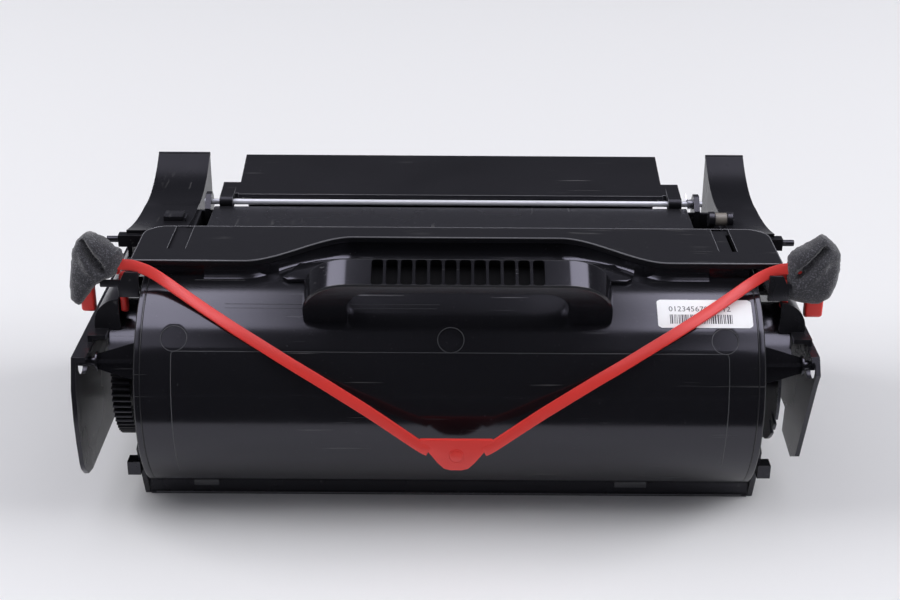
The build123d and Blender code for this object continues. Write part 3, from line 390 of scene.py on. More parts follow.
# lighter finishes for softened edges and moulded lines, painted highlight on them; a darker one for the
# pockets, painted shade
edgeHighlightFinishes = {
    "hopper_plastic": smoothRoller("hopperEdgeHighlight", (0.012, 0.012, 0.014), (0.030, 0.030, 0.034),
                                   0.2, 900.0, 0.1),
    "frame_plastic": smoothRoller("frameEdgeHighlight", (0.020, 0.020, 0.023), (0.045, 0.045, 0.050),
                                  0.25, 900.0, 0.1),
    "wheel_plastic": smoothRoller("wheelEdgeHighlight", (0.06, 0.06, 0.07), (0.10, 0.10, 0.11),
                                  0.3, 900.0, 0.1),
    "cover_plastic": smoothRoller("coverEdgeHighlight", (0.10, 0.10, 0.115), (0.20, 0.20, 0.22),
                                  0.25, 500.0, 0.1),
}
hornBlack = dict(frameBlack, ior=1.22, tint=(0.0075, 0.0075, 0.0095))
hornFinish = mouldedPlastic("hornMoulding", hornBlack)
spoolTan = smoothRoller("spoolTan", (0.15, 0.135, 0.12), (0.26, 0.235, 0.21), 0.4, 900.0, 0.2)
# lighter finishes that paint the highlights on thin lines and small raised parts
paintedEdgeHighlight = smoothRoller("paintedEdgeHighlight", (0.085, 0.085, 0.095), (0.15, 0.15, 0.165),
                         0.25, 700.0, 0.1)
paintedBeadHighlight = smoothRoller("paintedBeadHighlight", (0.035, 0.036, 0.040), (0.075, 0.076, 0.083),
                         0.22, 700.0, 0.1)
# painted shade for the faces inside the handle's pockets, dark and with little reflection
pocketShade = smoothRoller("pocketShade", (0.004, 0.004, 0.005), (0.006, 0.006, 0.0075),
                           0.8, 900.0, 0.1)
pocketShade.node_tree.nodes["Principled BSDF"].inputs["Specular IOR Level"].default_value = 0.15
print("stage: finishes")

bodyOf = {node: body for body, nodes in frame["record"]["behaviour"]["bodies"].items()
          for node in nodes}
slotOf = {row["node"]: row["material_slot"] for row in frame["record"]["subparts"]}
for node, slotName in slotOf.items():
    piece = frame["nodes"][node]
    piece.data.materials.clear()
    piece.data.materials.append(finishes[slotName])

frame["nodes"]["shutter_rod"].data.materials[0] = finishes["rod_steel"]

hopper = {"axis": 57 * mm, "radius": 54 * mm}


# Mesh helpers
def fromBmesh(name, bm, smoothBelow=40.0):
    mesh = bpy.data.meshes.new(name)
    bm.to_mesh(mesh)
    bm.free()
    for face in mesh.polygons:
        face.use_smooth = True
    mesh.set_sharp_from_angle(angle=math.radians(smoothBelow))
    piece = bpy.data.objects.new(name, mesh)
    bpy.context.scene.collection.objects.link(piece)
    return piece


def evenNormals(piece):
    piece.modifiers.new("evenNormals", "WEIGHTED_NORMAL").keep_sharp = True


def reshaded(piece, smoothBelow=38.0):
    for face in piece.data.polygons:
        face.use_smooth = True
    piece.data.set_sharp_from_angle(angle=math.radians(smoothBelow))
    evenNormals(piece)


def placed(piece, slotName, body="base", replaced=()):
    piece.data.materials.clear()
    piece.data.materials.append(finishes[slotName])
    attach(piece, body)
    if replaced:
        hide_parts(*replaced)
    return piece


def rimHighlighted(piece, slotName, body="base", replaced=()):
    # the bevel faces marked 1 get the lighter edge finish, a painted highlight
    rim = [face.index for face in piece.data.polygons if face.material_index == 1]
    placed(piece, slotName, body, replaced)
    piece.data.materials.append(edgeHighlightFinishes[slotName])
    for index in rim:
        piece.data.polygons[index].material_index = 1
    return piece


def joined(name, parts):
    bm = bmesh.new()
    for part in parts:
        bm.from_mesh(part.data)
        bpy.data.objects.remove(part)
    return fromBmesh(name, bm)


def ringsMesh(name, rings, capped=True):
    count = len(rings[0])
    verts = [point for ring in rings for point in ring]
    faces = []
    for i in range(len(rings) - 1):
        for j in range(count):
            k = (j + 1) % count
            faces.append((i * count + j, i * count + k, (i + 1) * count + k, (i + 1) * count + j))
    if capped:
        faces.append(tuple(reversed(range(count))))
        faces.append(tuple(range((len(rings) - 1) * count, len(rings) * count)))
    bm = bmesh.new()
    points = [bm.verts.new(v) for v in verts]
    for face in faces:
        bm.faces.new([points[index] for index in face])
    bmesh.ops.recalc_face_normals(bm, faces=bm.faces)
    return fromBmesh(name, bm)


def prism(name, outline, depth, edge=0.0, segments=2, rim=False):
    bm = bmesh.new()
    low = [bm.verts.new(Vector(p)) for p in outline]
    high = [bm.verts.new(Vector(p) + Vector(depth)) for p in outline]
    bm.faces.new(low[::-1])
    bm.faces.new(high)
    for index in range(len(low)):
        after = (index + 1) % len(low)
        bm.faces.new((low[index], low[after], high[after], high[index]))
    bmesh.ops.recalc_face_normals(bm, faces=bm.faces)
    if edge:
        corners = [e for e in bm.edges if e.calc_face_angle(0.0) > math.radians(25)]
        made = bmesh.ops.bevel(bm, geom=corners, offset=edge, segments=segments, profile=0.5,
                               affect="EDGES", clamp_overlap=True)
        # with rim set, only the upper bevel faces are marked for the painted highlight finish
        middle = sum((v.co.z for v in bm.verts)) / len(bm.verts)
        for face in made["faces"]:
            face.material_index = int(rim and face.calc_center_median().z > middle)
    return fromBmesh(name, bm)


def block(name, low, high, edge):
    outline = [(low[0], low[1], low[2]), (high[0], low[1], low[2]), (high[0], high[1], low[2]),
               (low[0], high[1], low[2])]
    return prism(name, outline, (0, 0, high[2] - low[2]), edge)


def smoothRun(points, steps):
    run = []
    ends = [points[0]] + list(points) + [points[-1]]
    for index in range(1, len(ends) - 2):
        a, b, c, d = ends[index - 1:index + 3]
        for step in range(steps):
            t = step / steps
            run.append(0.5 * (2 * b + (c - a) * t + (2 * a - 5 * b + 4 * c - d) * t * t
                              + (3 * b - a - 3 * c + d) * t ** 3))
    run.append(points[-1])
    return run


def circle(count):
    return [2 * math.pi * k / count for k in range(count)]


def tube(name, points, radius, sides=8, closed=False):
    rings = []
    side = None
    last = len(points) - 1
    for index, point in enumerate(points):
        before = points[index - 1] if index or closed else points[0]
        after = points[(index + 1) % len(points)] if index < last or closed else points[last]
        run = (after - before).normalized()
        if side is None:
            side = run.orthogonal().normalized()
        side = (side - run * side.dot(run)).normalized()
        up = run.cross(side)
        rings.append([point + (side * math.cos(t) + up * math.sin(t)) * radius
                      for t in circle(sides)])
    if closed:
        rings.append(rings[0])
        return ringsMesh(name, rings, capped=False)
    return ringsMesh(name, rings)


def onHopper(x, angle, radius):
    turn = math.radians(angle)
    return Vector((x, -radius * math.cos(turn), hopper["axis"] + radius * math.sin(turn)))


# Softer edges on the moulded parts, in mm: a name that ends in _ has a left and a right piece
softEdges = {
    "guide_horn_": 0.45, "side_cover_": 0.6, "drum_frame": 0.4, "waste_housing": 0.4,
    "waste_cover": 0.35, "drum_shutter": 0.6, "pin_arm_": 0.35, "hopper_end_": 0.7,
    "encoder_wheel": 0.2, "developer_frame": 0.5, "locating_pin_": 0.3,
}


def weldedCopy(node):
    bm = bmesh.new()
    bm.from_mesh(frame["nodes"][node].data)
    bmesh.ops.remove_doubles(bm, verts=bm.verts, dist=0.01 * mm)
    bmesh.ops.dissolve_limit(bm, angle_limit=math.radians(0.7), verts=bm.verts, edges=bm.edges)
    return bm


def sharpEdges(bm, corner):
    limit = math.radians(corner)
    return [e for e in bm.edges if len(e.link_faces) == 2 and e.calc_face_angle(0.0) > limit]


def softened(node, width, segments=2, corner=32.0):
    bm = weldedCopy(node)
    made = bmesh.ops.bevel(bm, geom=sharpEdges(bm, corner), offset=width * mm, offset_type="OFFSET",
                           segments=segments, profile=0.5, affect="EDGES", clamp_overlap=True)
    # all bevel faces are marked for the lighter edge finish, a painted highlight
    for face in made["faces"]:
        face.material_index = 1
    piece = fromBmesh("soft_" + node, bm)
    evenNormals(piece)
    rimHighlighted(piece, slotOf[node], bodyOf[node], (node,))
    if "horn" in node:
        piece.data.materials[0] = hornFinish


for stem, width in softEdges.items():
    for node in [stem + "left", stem + "right"] if stem.endswith("_") else [stem]:
        softened(node, width)
print("stage: soft edges")


# Carrying handle: a thin bar on two broad feet, with a row of pockets in its top
handleLook = {"center": 3.5, "half": 70.5, "top": 81.4, "foot": 51.6, "near": 9.4, "far": 6.2,
              "corner": 21.0, "gapHalf": 50.0, "gapTop": 75.3, "gapCorner": 12.0, "edge": 1.0,
              "angle": 60.3, "pockets": 12, "pitch": 6.55, "pocketWidth": 5.3,
              "pocketDeep": 5.3, "pocketRim": 0.8, "pocketCorner": 1.4, "cutterRise": 3,
              "shadeFoot": 0.4, "shadeRim": 0.3}


def handlePoint(x, reach, depth):
    turn = math.radians(handleLook["angle"])
    return Vector((handleLook["center"] + x, -reach * math.cos(turn) + depth * math.sin(turn),
                   hopper["axis"] / mm + reach * math.sin(turn) + depth * math.cos(turn))) * mm


def archSide(half, top, corner, foot, steps=10):
    # right half of an arch, from the foot up to where the corner meets the level top
    points = [(half, foot)]
    for k in range(steps + 1):
        t = math.pi / 2 * k / steps
        points.append((half - corner + corner * math.cos(t), top - corner + corner * math.sin(t)))
    return points


def pocketCutter(middle):
    look = handleLook
    half, deep = look["pocketWidth"] / 2, (look["near"] + look["far"]) / 2 - look["pocketRim"]
    shift = (look["far"] - look["near"]) / 2
    corner = look["pocketCorner"]
    outline = []
    for sx, sy in ((1, -1), (1, 1), (-1, 1), (-1, -1)):
        for k in range(4):
            t = math.pi / 2 * k / 3
            a, b = (math.sin(t), math.cos(t)) if sx * sy < 0 else (math.cos(t), math.sin(t))
            outline.append((sx * (half - corner + corner * a), sy * (deep - corner + corner * b)))
    low = look["top"] - look["pocketDeep"]
    points = [handlePoint(middle + x, low, d + shift) for x, d in outline]
    lift = handlePoint(0, look["top"] + look["cutterRise"], 0) - handlePoint(0, low, 0)
    return prism("pocket", points, lift)


def cutAway(piece, cutter):
    change = piece.modifiers.new("cut", "BOOLEAN")
    change.operation = "DIFFERENCE"
    change.solver = "EXACT"
    change.object = cutter
    bpy.context.view_layer.update()
    graph = bpy.context.evaluated_depsgraph_get()
    mesh = bpy.data.meshes.new_from_object(piece.evaluated_get(graph))
    piece.modifiers.clear()
    piece.data = mesh
    bpy.data.objects.remove(cutter)


def roundHandle():
    look = handleLook
    outer = archSide(look["half"], look["top"], look["corner"], look["foot"])
    inner = archSide(look["gapHalf"], look["gapTop"], look["gapCorner"], look["foot"])
    outline = outer + [(-x, r) for x, r in reversed(outer)]
    outline += [(-x, r) for x, r in inner] + list(reversed(inner))
    near = [handlePoint(x, r, -look["near"]) for x, r in outline]
    through = handlePoint(0, 0, look["far"]) - handlePoint(0, 0, -look["near"])
    # the upper bevel faces of the handle get the painted highlight finish
    piece = prism("roundHandle", near, through, look["edge"] * mm, 4, True)
    spots = [(k - (look["pockets"] - 1) / 2) * look["pitch"] for k in range(look["pockets"])]
    cutAway(piece, joined("pockets", [pocketCutter(spot) for spot in spots]))
    reshaded(piece)
    rimHighlighted(piece, "hopper_plastic", "base", ("carry_handle",))
    shadePockets(piece)


def shadePockets(piece):
    # painted shade: the dark finish goes on the faces inside the pockets
    look = handleLook
    piece.data.materials.append(pocketShade)
    turn = math.radians(look["angle"])
    rim = look["shadeRim"]
    for face in piece.data.polygons:
        across, up = face.center.y / mm, (face.center.z - hopper["axis"]) / mm
        reach = up * math.sin(turn) - across * math.cos(turn)
        depth = up * math.cos(turn) + across * math.sin(turn)
        inRow = abs(face.center.x / mm - look["center"]) < look["pitch"] * look["pockets"] / 2
        inBar = look["gapTop"] + look["shadeFoot"] < reach < look["top"] - rim
        if inRow and inBar and rim - look["near"] < depth < look["far"] - rim:
            face.material_index = 2


# Pads under the handle's feet: spans along the hopper, the rest as angles round it
footLook = {"spans": ((-1, -62.0, -78.4), (1, 69.0, 84.9)), "backNear": 92.0, "backFar": 91.0,
            "knee": 77.0, "frontFar": 74.6, "frontNear": 75.0, "taper": 7.0, "tuck": 3.0,
            "liftAngle": 83.0, "thick": 2.4, "sink": 0.3, "edge": 0.5}


def footPads():
    look = footLook
    parts = []
    for side, near, far in look["spans"]:
        outline = [(near, look["backNear"]), (far - side * look["taper"], look["backFar"]),
                   (far, look["knee"]), (far - side * look["tuck"], look["frontFar"]),
                   (near, look["frontNear"])]
        low = [onHopper(x * mm, a, hopper["radius"] - look["sink"] * mm) for x, a in outline]
        lift = onHopper(0, look["liftAngle"], look["thick"] * mm) - Vector((0, 0, hopper["axis"]))
        parts.append(prism("footPad", low, lift, look["edge"] * mm, 2))
    return placed(joined("footPads", parts), "hopper_plastic")


roundHandle()
footPads()
print("stage: handle")


# Cover plate: a smooth wave in its front, two channels, a slot and a bright rim, which is painted
# highlight
coverLook = {"center": 3.0, "half": 152.0, "back": 32.0, "front": -11.0, "middle": 19.0,
             "inner": 50.0, "outer": 99.0, "corner": 11.0, "nose": 1.5, "top": 119.0,
             "thick": 3.0, "edge": 0.5, "channels": (-129.7, 131.5), "channelWidth": 8.4,
             "channelDeep": 1.2, "channelFront": 3.0, "slotWidth": 1.8, "slotInset": 0.02,
             "lineGap": 0.3, "lineBead": 0.16, "rimBead": 0.24, "rimScale": 0.997,
             "rimInset": 0.3, "rimSink": 0.05, "rearFrom": 20}


def waveRise(t):
    return (coverLook["middle"] - coverLook["front"]) * (3 * t * t - 2 * t ** 3)


def coverSide():
    look = coverLook
    half, front, back, corner = look["half"], look["front"], look["back"], look["corner"]
    points = [(look["outer"] - (look["outer"] - look["inner"]) * t, front + waveRise(t))
              for t in (k / 24 for k in range(24, -1, -1))]
    points += [(half - look["nose"], front), (half, front + look["nose"]), (half, back - corner)]
    points += [(half - corner + corner * math.cos(t), back - corner + corner * math.sin(t))
               for t in (math.pi / 2 * k / 10 for k in range(1, 11))]
    return points


def channelCutter(middle):
    look = coverLook
    near, far = middle - look["channelWidth"] / 2, middle + look["channelWidth"] / 2
    floor = (look["top"] - look["channelDeep"]) * mm
    return block("channel", (near * mm, look["channelFront"] * mm, floor),
                 (far * mm, (look["back"] + 1) * mm, (look["top"] + 2) * mm), 0)


def coverHighlightLines(outline):
    # painted highlight: bright lines beside the channels and round the rim
    look = coverLook
    lines = []
    for middle in look["channels"]:
        for edge in (-0.5, 0.5):
            x = middle + edge * (look["channelWidth"] + look["lineGap"])
            run = [Vector((x, y, look["top"])) * mm
                   for y in (look["channelFront"], look["back"] - 1)]
            lines.append(tube("line", run, look["lineBead"] * mm, 6))
    rim = [(look["center"] + x * look["rimScale"],
            y - look["rimInset"] if y > look["rearFrom"] else y, look["top"] - look["rimSink"])
           for x, y in outline if abs(x) > look["outer"] + 2]
    lines.append(tube("line", [Vector(point) * mm for point in rim], look["rimBead"] * mm, 6))
    trim = placed(joined("channelHighlightLines", lines), "cover_plastic")
    trim.data.materials[0] = edgeHighlightFinishes["cover_plastic"]


def coverPlate():
    look = coverLook
    side = coverSide()
    outline = side + [(-x, y) for x, y in reversed(side)]
    low = [Vector((look["center"] + x, y, look["top"] - look["thick"])) * mm for x, y in outline]
    # the upper bevel faces of the plate get the painted highlight finish
    piece = prism("coverPlate", low, (0, 0, look["thick"] * mm), look["edge"] * mm, 2, True)
    cutAway(piece, joined("channels", [channelCutter(middle) for middle in look["channels"]]))
    far = look["channels"][1] + look["channelWidth"] / 2
    slotLow = ((far - look["slotWidth"]) * mm, (look["channelFront"] + 2) * mm,
               (look["top"] - look["thick"] - 1) * mm)
    slotHigh = (far * mm - look["slotInset"] * mm, (look["back"] - 5) * mm,
                (look["top"] + 3) * mm)
    cutAway(piece, block("slot", slotLow, slotHigh, 0))
    reshaded(piece)
    rimHighlighted(piece, "cover_plastic", "base", ("hopper_cover",))
    coverHighlightLines(outline)


# Neck below the cover, following the same wave down to the hopper with a hollow at its foot
neckLook = {"end": 118.0, "back": 26.0, "under": 116.3, "steps": 60, "sink": 0.4,
            "rise": ((1.0, 2.0), (0.62, 2.0), (0.36, 1.7), (0.16, 0.9), (0.0, -0.9))}


def waveFront(x):
    look = coverLook
    t = max(0.0, min(1.0, (look["outer"] - abs(x)) / (look["outer"] - look["inner"])))
    return look["front"] + waveRise(t)


def neckSkirt():
    look = neckLook
    center = coverLook["center"]
    spots = [look["end"] * (2 * k / look["steps"] - 1) for k in range(look["steps"] + 1)]
    rings = []
    for share, inset in look["rise"]:
        ring = []
        for x in spots:
            y = waveFront(x) + inset
            crown = hopper["axis"] + math.sqrt(hopper["radius"] ** 2 - (y * mm) ** 2)
            floor = crown / mm - look["sink"]
            ring.append(Vector((center + x, y, floor + (look["under"] - floor) * share)) * mm)
        height = ring[0].z
        for x in (look["end"], -look["end"]):
            ring.append(Vector(((center + x) * mm, look["back"] * mm, height)))
        rings.append(ring)
    return placed(ringsMesh("neckSkirt", rings), "hopper_plastic")


# Painted highlight along the foot of the pan: a bright line, and tabs in a lighter finish
panLook = {"front": -22.7, "half": 143.0, "lineHeight": 0.9, "lineBead": 0.35,
           "tabs": ((-124.0, -111.8), (80.4, 96.1)), "tabFront": -24.4, "tabBack": -21.5,
           "tabLow": 5.6, "tabHigh": 9.6, "tabEdge": 0.4}


def panTrim():
    look = panLook
    line = [Vector((x, look["front"], look["lineHeight"])) * mm
            for x in (-look["half"], look["half"])]
    piece = placed(tube("panLine", line, look["lineBead"] * mm, 8), "frame_plastic")
    # a lighter finish that paints the highlight on the pan's lip
    piece.data.materials[0] = paintedEdgeHighlight
    tabs = [block("tab", (left * mm, look["tabFront"] * mm, look["tabLow"] * mm),
                  (right * mm, look["tabBack"] * mm, look["tabHigh"] * mm), look["tabEdge"] * mm)
            for left, right in look["tabs"]]
    tabs = placed(joined("panTabs", tabs), "frame_plastic")
    # the tabs' lighter finish is painted highlight
    tabs.data.materials[0] = paintedBeadHighlight


coverPlate()
neckSkirt()
panTrim()
print("stage: rims")


# Red strap as one smooth ribbon with its middle piece, button and prongs
strapLook = {"center": 3.2, "width": 5.2, "thick": 1.8, "edge": 0.45, "steps": 6,
             "front": -66.0, "buttonDrop": 9.5, "ring": 3.2, "ringFront": -66.9,
             "ringBead": 0.35, "button": ((2.9, -66.0), (2.9, -67.3), (2.5, -67.6))}
# half the ribbon, from the middle out: x, y, height above the hopper's axis, lean in degrees
strapStations = [
    (12.5, -66.0, -7.2, 0), (17.2, -65.9, -4.4, 0), (37.0, -62.5, 8.7, 8), (49.6, -58.8, 15.6, 15),
    (62.4, -54.1, 21.9, 22), (75.2, -49.2, 27.8, 30), (88.2, -44.0, 34.0, 38), (101.2, -38.6, 40.1, 46),
    (114.6, -31.5, 46.0, 52), (128.3, -23.6, 52.1, 45), (135.3, -19.6, 55.4, 38), (142.2, -17.2, 58.8, 32),
    (148.9, -16.5, 61.2, 28), (153.0, -16.5, 61.8, 25), (157.5, -16.2, 61.9, 24), (161.0, -15.8, 61.4, 24),
]


def strapArm(side):
    look = strapLook
    run = smoothRun([Vector(station) for station in strapStations], look["steps"])
    places = [Vector((look["center"] + side * p[0], p[1], p[2])) * mm + Vector((0, 0, hopper["axis"]))
              for p in run]
    half, thick, edge = look["width"] / 2, look["thick"] / 2, look["edge"]
    profile = [(half, thick - edge), (half - edge * 0.3, thick - edge * 0.3), (half - edge, thick)]
    profile = profile + [(-x, y) for x, y in reversed(profile)]
    profile = profile + [(x, -y) for x, y in reversed(profile)]
    rings = []
    for index, place in enumerate(places):
        ahead = places[min(len(places) - 1, index + 1)] - places[max(0, index - 1)]
        lean = math.radians(run[index][3])
        outward = Vector((0, -math.cos(lean), math.sin(lean)))
        across = outward.cross(ahead).normalized()
        facing = ahead.cross(across).normalized()
        rings.append([place + (across * x + facing * y) * mm for x, y in profile])
    return ringsMesh("strapArm", rings)


# Ends of the strap: a bar and two prongs, each with its inner face, width, tip and top
endLook = {"bar": (153, 171), "barLow": 57.0, "barHigh": 63.0, "front": -17.0, "back": -13.5,
           "inner": -11.6, "left": ((150.6, 3.0, 37.0, 57.0), (165.8, 6.1, 37.2, 63.0)),
           "right": ((154.3, 3.0, 41.0, 57.0), (165.8, 8.0, 36.3, 63.0))}


def strapEnd(side):
    look = endLook
    front, back, inner = (look[key] * mm for key in ("front", "back", "inner"))
    low, high = (hopper["axis"] + look[key] * mm for key in ("barLow", "barHigh"))
    near, far = sorted(side * x for x in look["bar"])
    parts = [block("bar", (near * mm, front, low), (far * mm, back, high), 0.5 * mm)]
    for face, thick, bottom, crown in look["right" if side > 0 else "left"]:
        x = min(side * face, side * (face + thick)) * mm
        tip, top = hopper["axis"] + bottom * mm, hopper["axis"] + crown * mm
        outline = [(x, front, top), (x, inner, top), (x, inner, tip + 3 * mm),
                   (x, inner - 0.8 * mm, tip), (x, inner - 3 * mm, tip),
                   (x, front - 1.2 * mm, tip + 2 * mm), (x, front - 1.2 * mm, tip + 15 * mm)]
        parts.append(prism("prong", outline, (thick * mm, 0, 0), min(1.6, thick * 0.35) * mm, 3))
    return parts


# Dark ears in front of the prongs, and the ledges beside them
earLook = {"outline": ((150.2, 59.6), (143.8, 59.6), (143.8, 47.0), (153.6, 47.0), (153.6, 52.5)),
           "shifts": ((-1, 0.0), (1, 3.2)), "front": -20.6, "thick": 1.8, "edge": 0.5,
           "ledge": (151.5, 161.8), "ledgeFront": -20.4, "ledgeBack": -18.8,
           "ledgeLow": 52.0, "ledgeHigh": 55.6}


def strapEars():
    look = earLook
    base = hopper["axis"] / mm
    parts = []
    for side, shift in look["shifts"]:
        ear = [Vector((side * (x + shift), look["front"], base + z)) * mm
               for x, z in look["outline"]]
        parts.append(prism("ear", ear, (0, look["thick"] * mm, 0), look["edge"] * mm))
        near, far = sorted(side * (x + shift) * mm for x in look["ledge"])
        parts.append(block("ledge", (near, look["ledgeFront"] * mm, (base + look["ledgeLow"]) * mm),
                           (far, look["ledgeBack"] * mm, (base + look["ledgeHigh"]) * mm),
                           look["edge"] * mm))
    return placed(joined("strapEars", parts), "frame_plastic")


def redStrap():
    look = strapLook
    c, top = look["center"], hopper["axis"] / mm
    outline = [(c - 17, top - 1.8), (c - 16, top - 1.2), (c + 16, top - 1.2), (c + 17, top - 1.8),
               (c + 8.5, top - 13.2), (c + 5.5, top - 16.2), (c + 2.5, top - 17),
               (c - 2.5, top - 17), (c - 5.5, top - 16.2), (c - 8.5, top - 13.2)]
    front = [(x * mm, (look["front"] - look["thick"] / 2) * mm, z * mm) for x, z in outline]
    parts = [prism("middle", front, (0, look["thick"] * mm, 0), 0.4 * mm)]
    turns = circle(32)
    height = top - look["buttonDrop"]
    ring = [Vector((c + look["ring"] * math.cos(t), look["ringFront"],
                    height + look["ring"] * math.sin(t))) * mm for t in turns]
    parts.append(tube("buttonRim", ring, look["ringBead"] * mm, 8, True))
    pin = [[Vector((c + r * math.cos(t), y, height + r * math.sin(t))) * mm for t in turns]
           for r, y in look["button"]]
    parts.append(ringsMesh("button", pin))
    for side in (-1, 1):
        parts.append(strapArm(side))
        parts.extend(strapEnd(side))
    return placed(joined("redStrap", parts), "strap_plastic", "base", ("shipping_strap",))


redStrap()
strapEars()
print("stage: strap")


# Foam sleeves: soft pads, folded along a crease and pinched where the strap comes out
foamLook = {"half": 7.4, "middle": -15.2, "around": 96, "rings": 14, "shrink": 0.98,
            "pinched": 0.58, "pinchGain": 0.42, "pinchReach": 13.0, "crease": 4.2,
            "creaseWidth": 1.5, "ridge": 1.2, "ridgeAt": 4.0, "ridgeWidth": 2.5,
            "lump": 0.9, "lumpScale": 0.22, "fuzz": 0.35, "fuzzScale": 1.3}
foamOutlines = {
    "left": [(-151.0, 64.0), (-151.8, 68.8), (-154.3, 69.8), (-160.2, 74.6), (-164.1, 76.9),
             (-168.3, 76.4), (-172.5, 71.6), (-174.9, 62.6), (-176.6, 45.6), (-172.7, 41.4),
             (-164.8, 51.0), (-161.8, 53.3), (-153.2, 58.2)],
    "right": [(155.4, 63.5), (156.6, 68.2), (162.6, 72.4), (168.3, 76.3), (171.5, 77.6),
              (178.3, 71.8), (179.3, 68.1), (179.3, 60.1), (176.3, 47.6), (165.5, 44.2),
              (156.0, 48.4), (155.2, 57.5)],
}
foamCreases = {"left": ((-168.0, 74.0), (-160.0, 61.0)), "right": ((171.0, 73.0), (161.0, 60.0))}


def segmentDistance(point, start, end):
    along = end - start
    t = max(0.0, min(1.0, (point - start).dot(along) / along.length_squared))
    return (point - start - along * t).length


def foamPoint(p, swell, face, middle, pinch, crease):
    look = foamLook
    lift = look["half"] * swell
    lift *= look["pinched"] + look["pinchGain"] * min(1.0, (p - pinch).length / look["pinchReach"])
    if face < 0:
        fold = segmentDistance(p, *crease)
        dip = look["crease"] * math.exp(-(fold / look["creaseWidth"]) ** 2)
        lift -= dip * min(1.0, swell * 1.2)
        lift += look["ridge"] * math.exp(-((fold - look["ridgeAt"]) / look["ridgeWidth"]) ** 2) * swell
    place = Vector((p.x, look["middle"] + face * lift, hopper["axis"] / mm + p.y))
    rough = (noise.noise(place * look["lumpScale"]) * look["lump"]
             + noise.noise(place * look["fuzzScale"]) * look["fuzz"])
    place += Vector((p.x - middle.x, face * 4.0, p.y - middle.y)).normalized() * rough
    return place * mm


def foamSleeve(side):
    look = foamLook
    corners = [Vector(p) for p in foamOutlines[side]]
    closed = corners[-2:] + corners + corners[:2]
    run = smoothRun(closed, 8)[16:-16]
    edge = [run[int(k * len(run) / look["around"])] for k in range(look["around"])]
    middle = sum(edge, Vector((0, 0))) / len(edge)
    crease = [Vector(p) for p in foamCreases[side]]
    steps = look["rings"]
    # rings run from the middle of the back, over the edge, to the middle of the front
    shares = [(1, (steps - k) / steps) for k in range(steps + 1)]
    shares += [(-1, k / steps) for k in range(1, steps + 1)]
    rings = []
    for face, s in shares:
        shrink = 1 - look["shrink"] * s ** 1.25
        swell = math.sqrt(1 - (1 - s) ** 2.6)
        rings.append([foamPoint(middle + (spot - middle) * shrink, swell, face, middle,
                                corners[0], crease) for spot in edge])
    piece = ringsMesh("foam_" + side, rings)
    placed(piece, "foam", "base", ("foam_sleeve_" + side,))


foamSleeve("left")
foamSleeve("right")
print("stage: foam")


# Label with plain bars and counting digits
labelLook = {"left": 95.0, "right": 138.4, "low": 48.4, "high": 64.4, "corner": 1.6, "lift": 0.24,
             "inkLift": 0.03, "barStart": 5.6, "barEnd": 9.0, "barLow": 50.6, "barHigh": 55.6,
             "barWidths": (0.25, 0.4, 0.4, 0.65), "barGaps": (0.3, 0.4, 0.6), "seed": 7,
             "digits": "0123456789  012", "digitStart": 5.2, "digitLow": 57.4, "digitHeight": 3.0}


def hopperPatch(name, left, right, low, high, corner, lift, rows=16):
    radius = hopper["radius"] + lift * mm
    arc = math.radians(high - low) * radius / mm
    points = []
    for k in range(rows + 1):
        v = arc * k / rows
        near = min(v, arc - v)
        cut = corner - math.sqrt(max(0.0, corner ** 2 - (corner - near) ** 2)) if near < corner else 0.0
        angle = low + (high - low) * k / rows
        points.append(onHopper((left + cut) * mm, angle, radius))
        points.append(onHopper((right - cut) * mm, angle, radius))
    faces = [(2 * k, 2 * k + 1, 2 * k + 3, 2 * k + 2) for k in range(rows)]
    return meshObject(name, points, faces, True)


def inkFinish():
    material, shader, where, add, join = nodeKit("printInk")
    cloud = noiseOf(add, join, where, 900.0, 2.0)
    join(blendTints(add, join, cloud, (0.02, 0.02, 0.03), (0.05, 0.05, 0.07)),
         shader.inputs["Base Color"])
    shader.inputs["Roughness"].default_value = 0.5
    return material


def digitRow(text, left, low, height, lift):
    data = bpy.data.curves.new("digits", "FONT")
    data.body = text
    data.size = height * 1.35 * mm
    data.resolution_u = 2
    letters = bpy.data.objects.new("digits", data)
    bpy.context.scene.collection.objects.link(letters)
    bpy.context.view_layer.update()
    flat = bpy.data.meshes.new_from_object(letters)
    bpy.data.objects.remove(letters)
    radius = hopper["radius"] + lift * mm
    for vert in flat.vertices:
        turn = low + math.degrees(vert.co.y / radius)
        vert.co = onHopper(left * mm + vert.co.x, turn, radius)
    piece = bpy.data.objects.new("labelDigits", flat)
    bpy.context.scene.collection.objects.link(piece)
    return piece


def productLabel():
    look = labelLook
    paper = hopperPatch("labelPaper", look["left"], look["right"], look["low"], look["high"],
                        look["corner"], look["lift"])
    placed(paper, "label_paper", "base", ("barcode_label",))
    dice = random.Random(look["seed"])
    inkLift = look["lift"] + look["inkLift"]
    bars = []
    x = look["left"] + look["barStart"]
    while x < look["right"] - look["barEnd"]:
        width = dice.choice(look["barWidths"])
        bars.append(hopperPatch("bar", x, x + width, look["barLow"], look["barHigh"], 0.0,
                                inkLift, 3))
        x += width + dice.choice(look["barGaps"])
    ink = inkFinish()
    printed = [joined("labelBars", bars),
               digitRow(look["digits"], look["left"] + look["digitStart"], look["digitLow"],
                        look["digitHeight"], inkLift)]
    for piece in printed:
        piece.data.materials.clear()
        piece.data.materials.append(ink)
        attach(piece, "base")


productLabel()
print("stage: label")


# Raised lines moulded on the hopper, in a lighter finish that paints their highlight
beadLook = {"left": -126.4, "right": 126.8, "high": 35.2, "lowLeft": -35.0, "lowRight": -28.0,
            "bead": 0.22, "sink": 0.02, "ringRadius": 6.0, "ringAngle": 41.6, "ringBead": 0.2,
            "ringPlaces": (-125.5, 0.5, 125.2), "lineBead": 0.12}
# each line's left end, right end and angle up the hopper
mouldLines = ((-103.4, -67.5, 60.4), (-103.2, -66.5, 58.0), (-45.9, -4.6, 60.6),
              (-44.0, -6.0, 58.2), (-119.0, -95.7, 76.8))


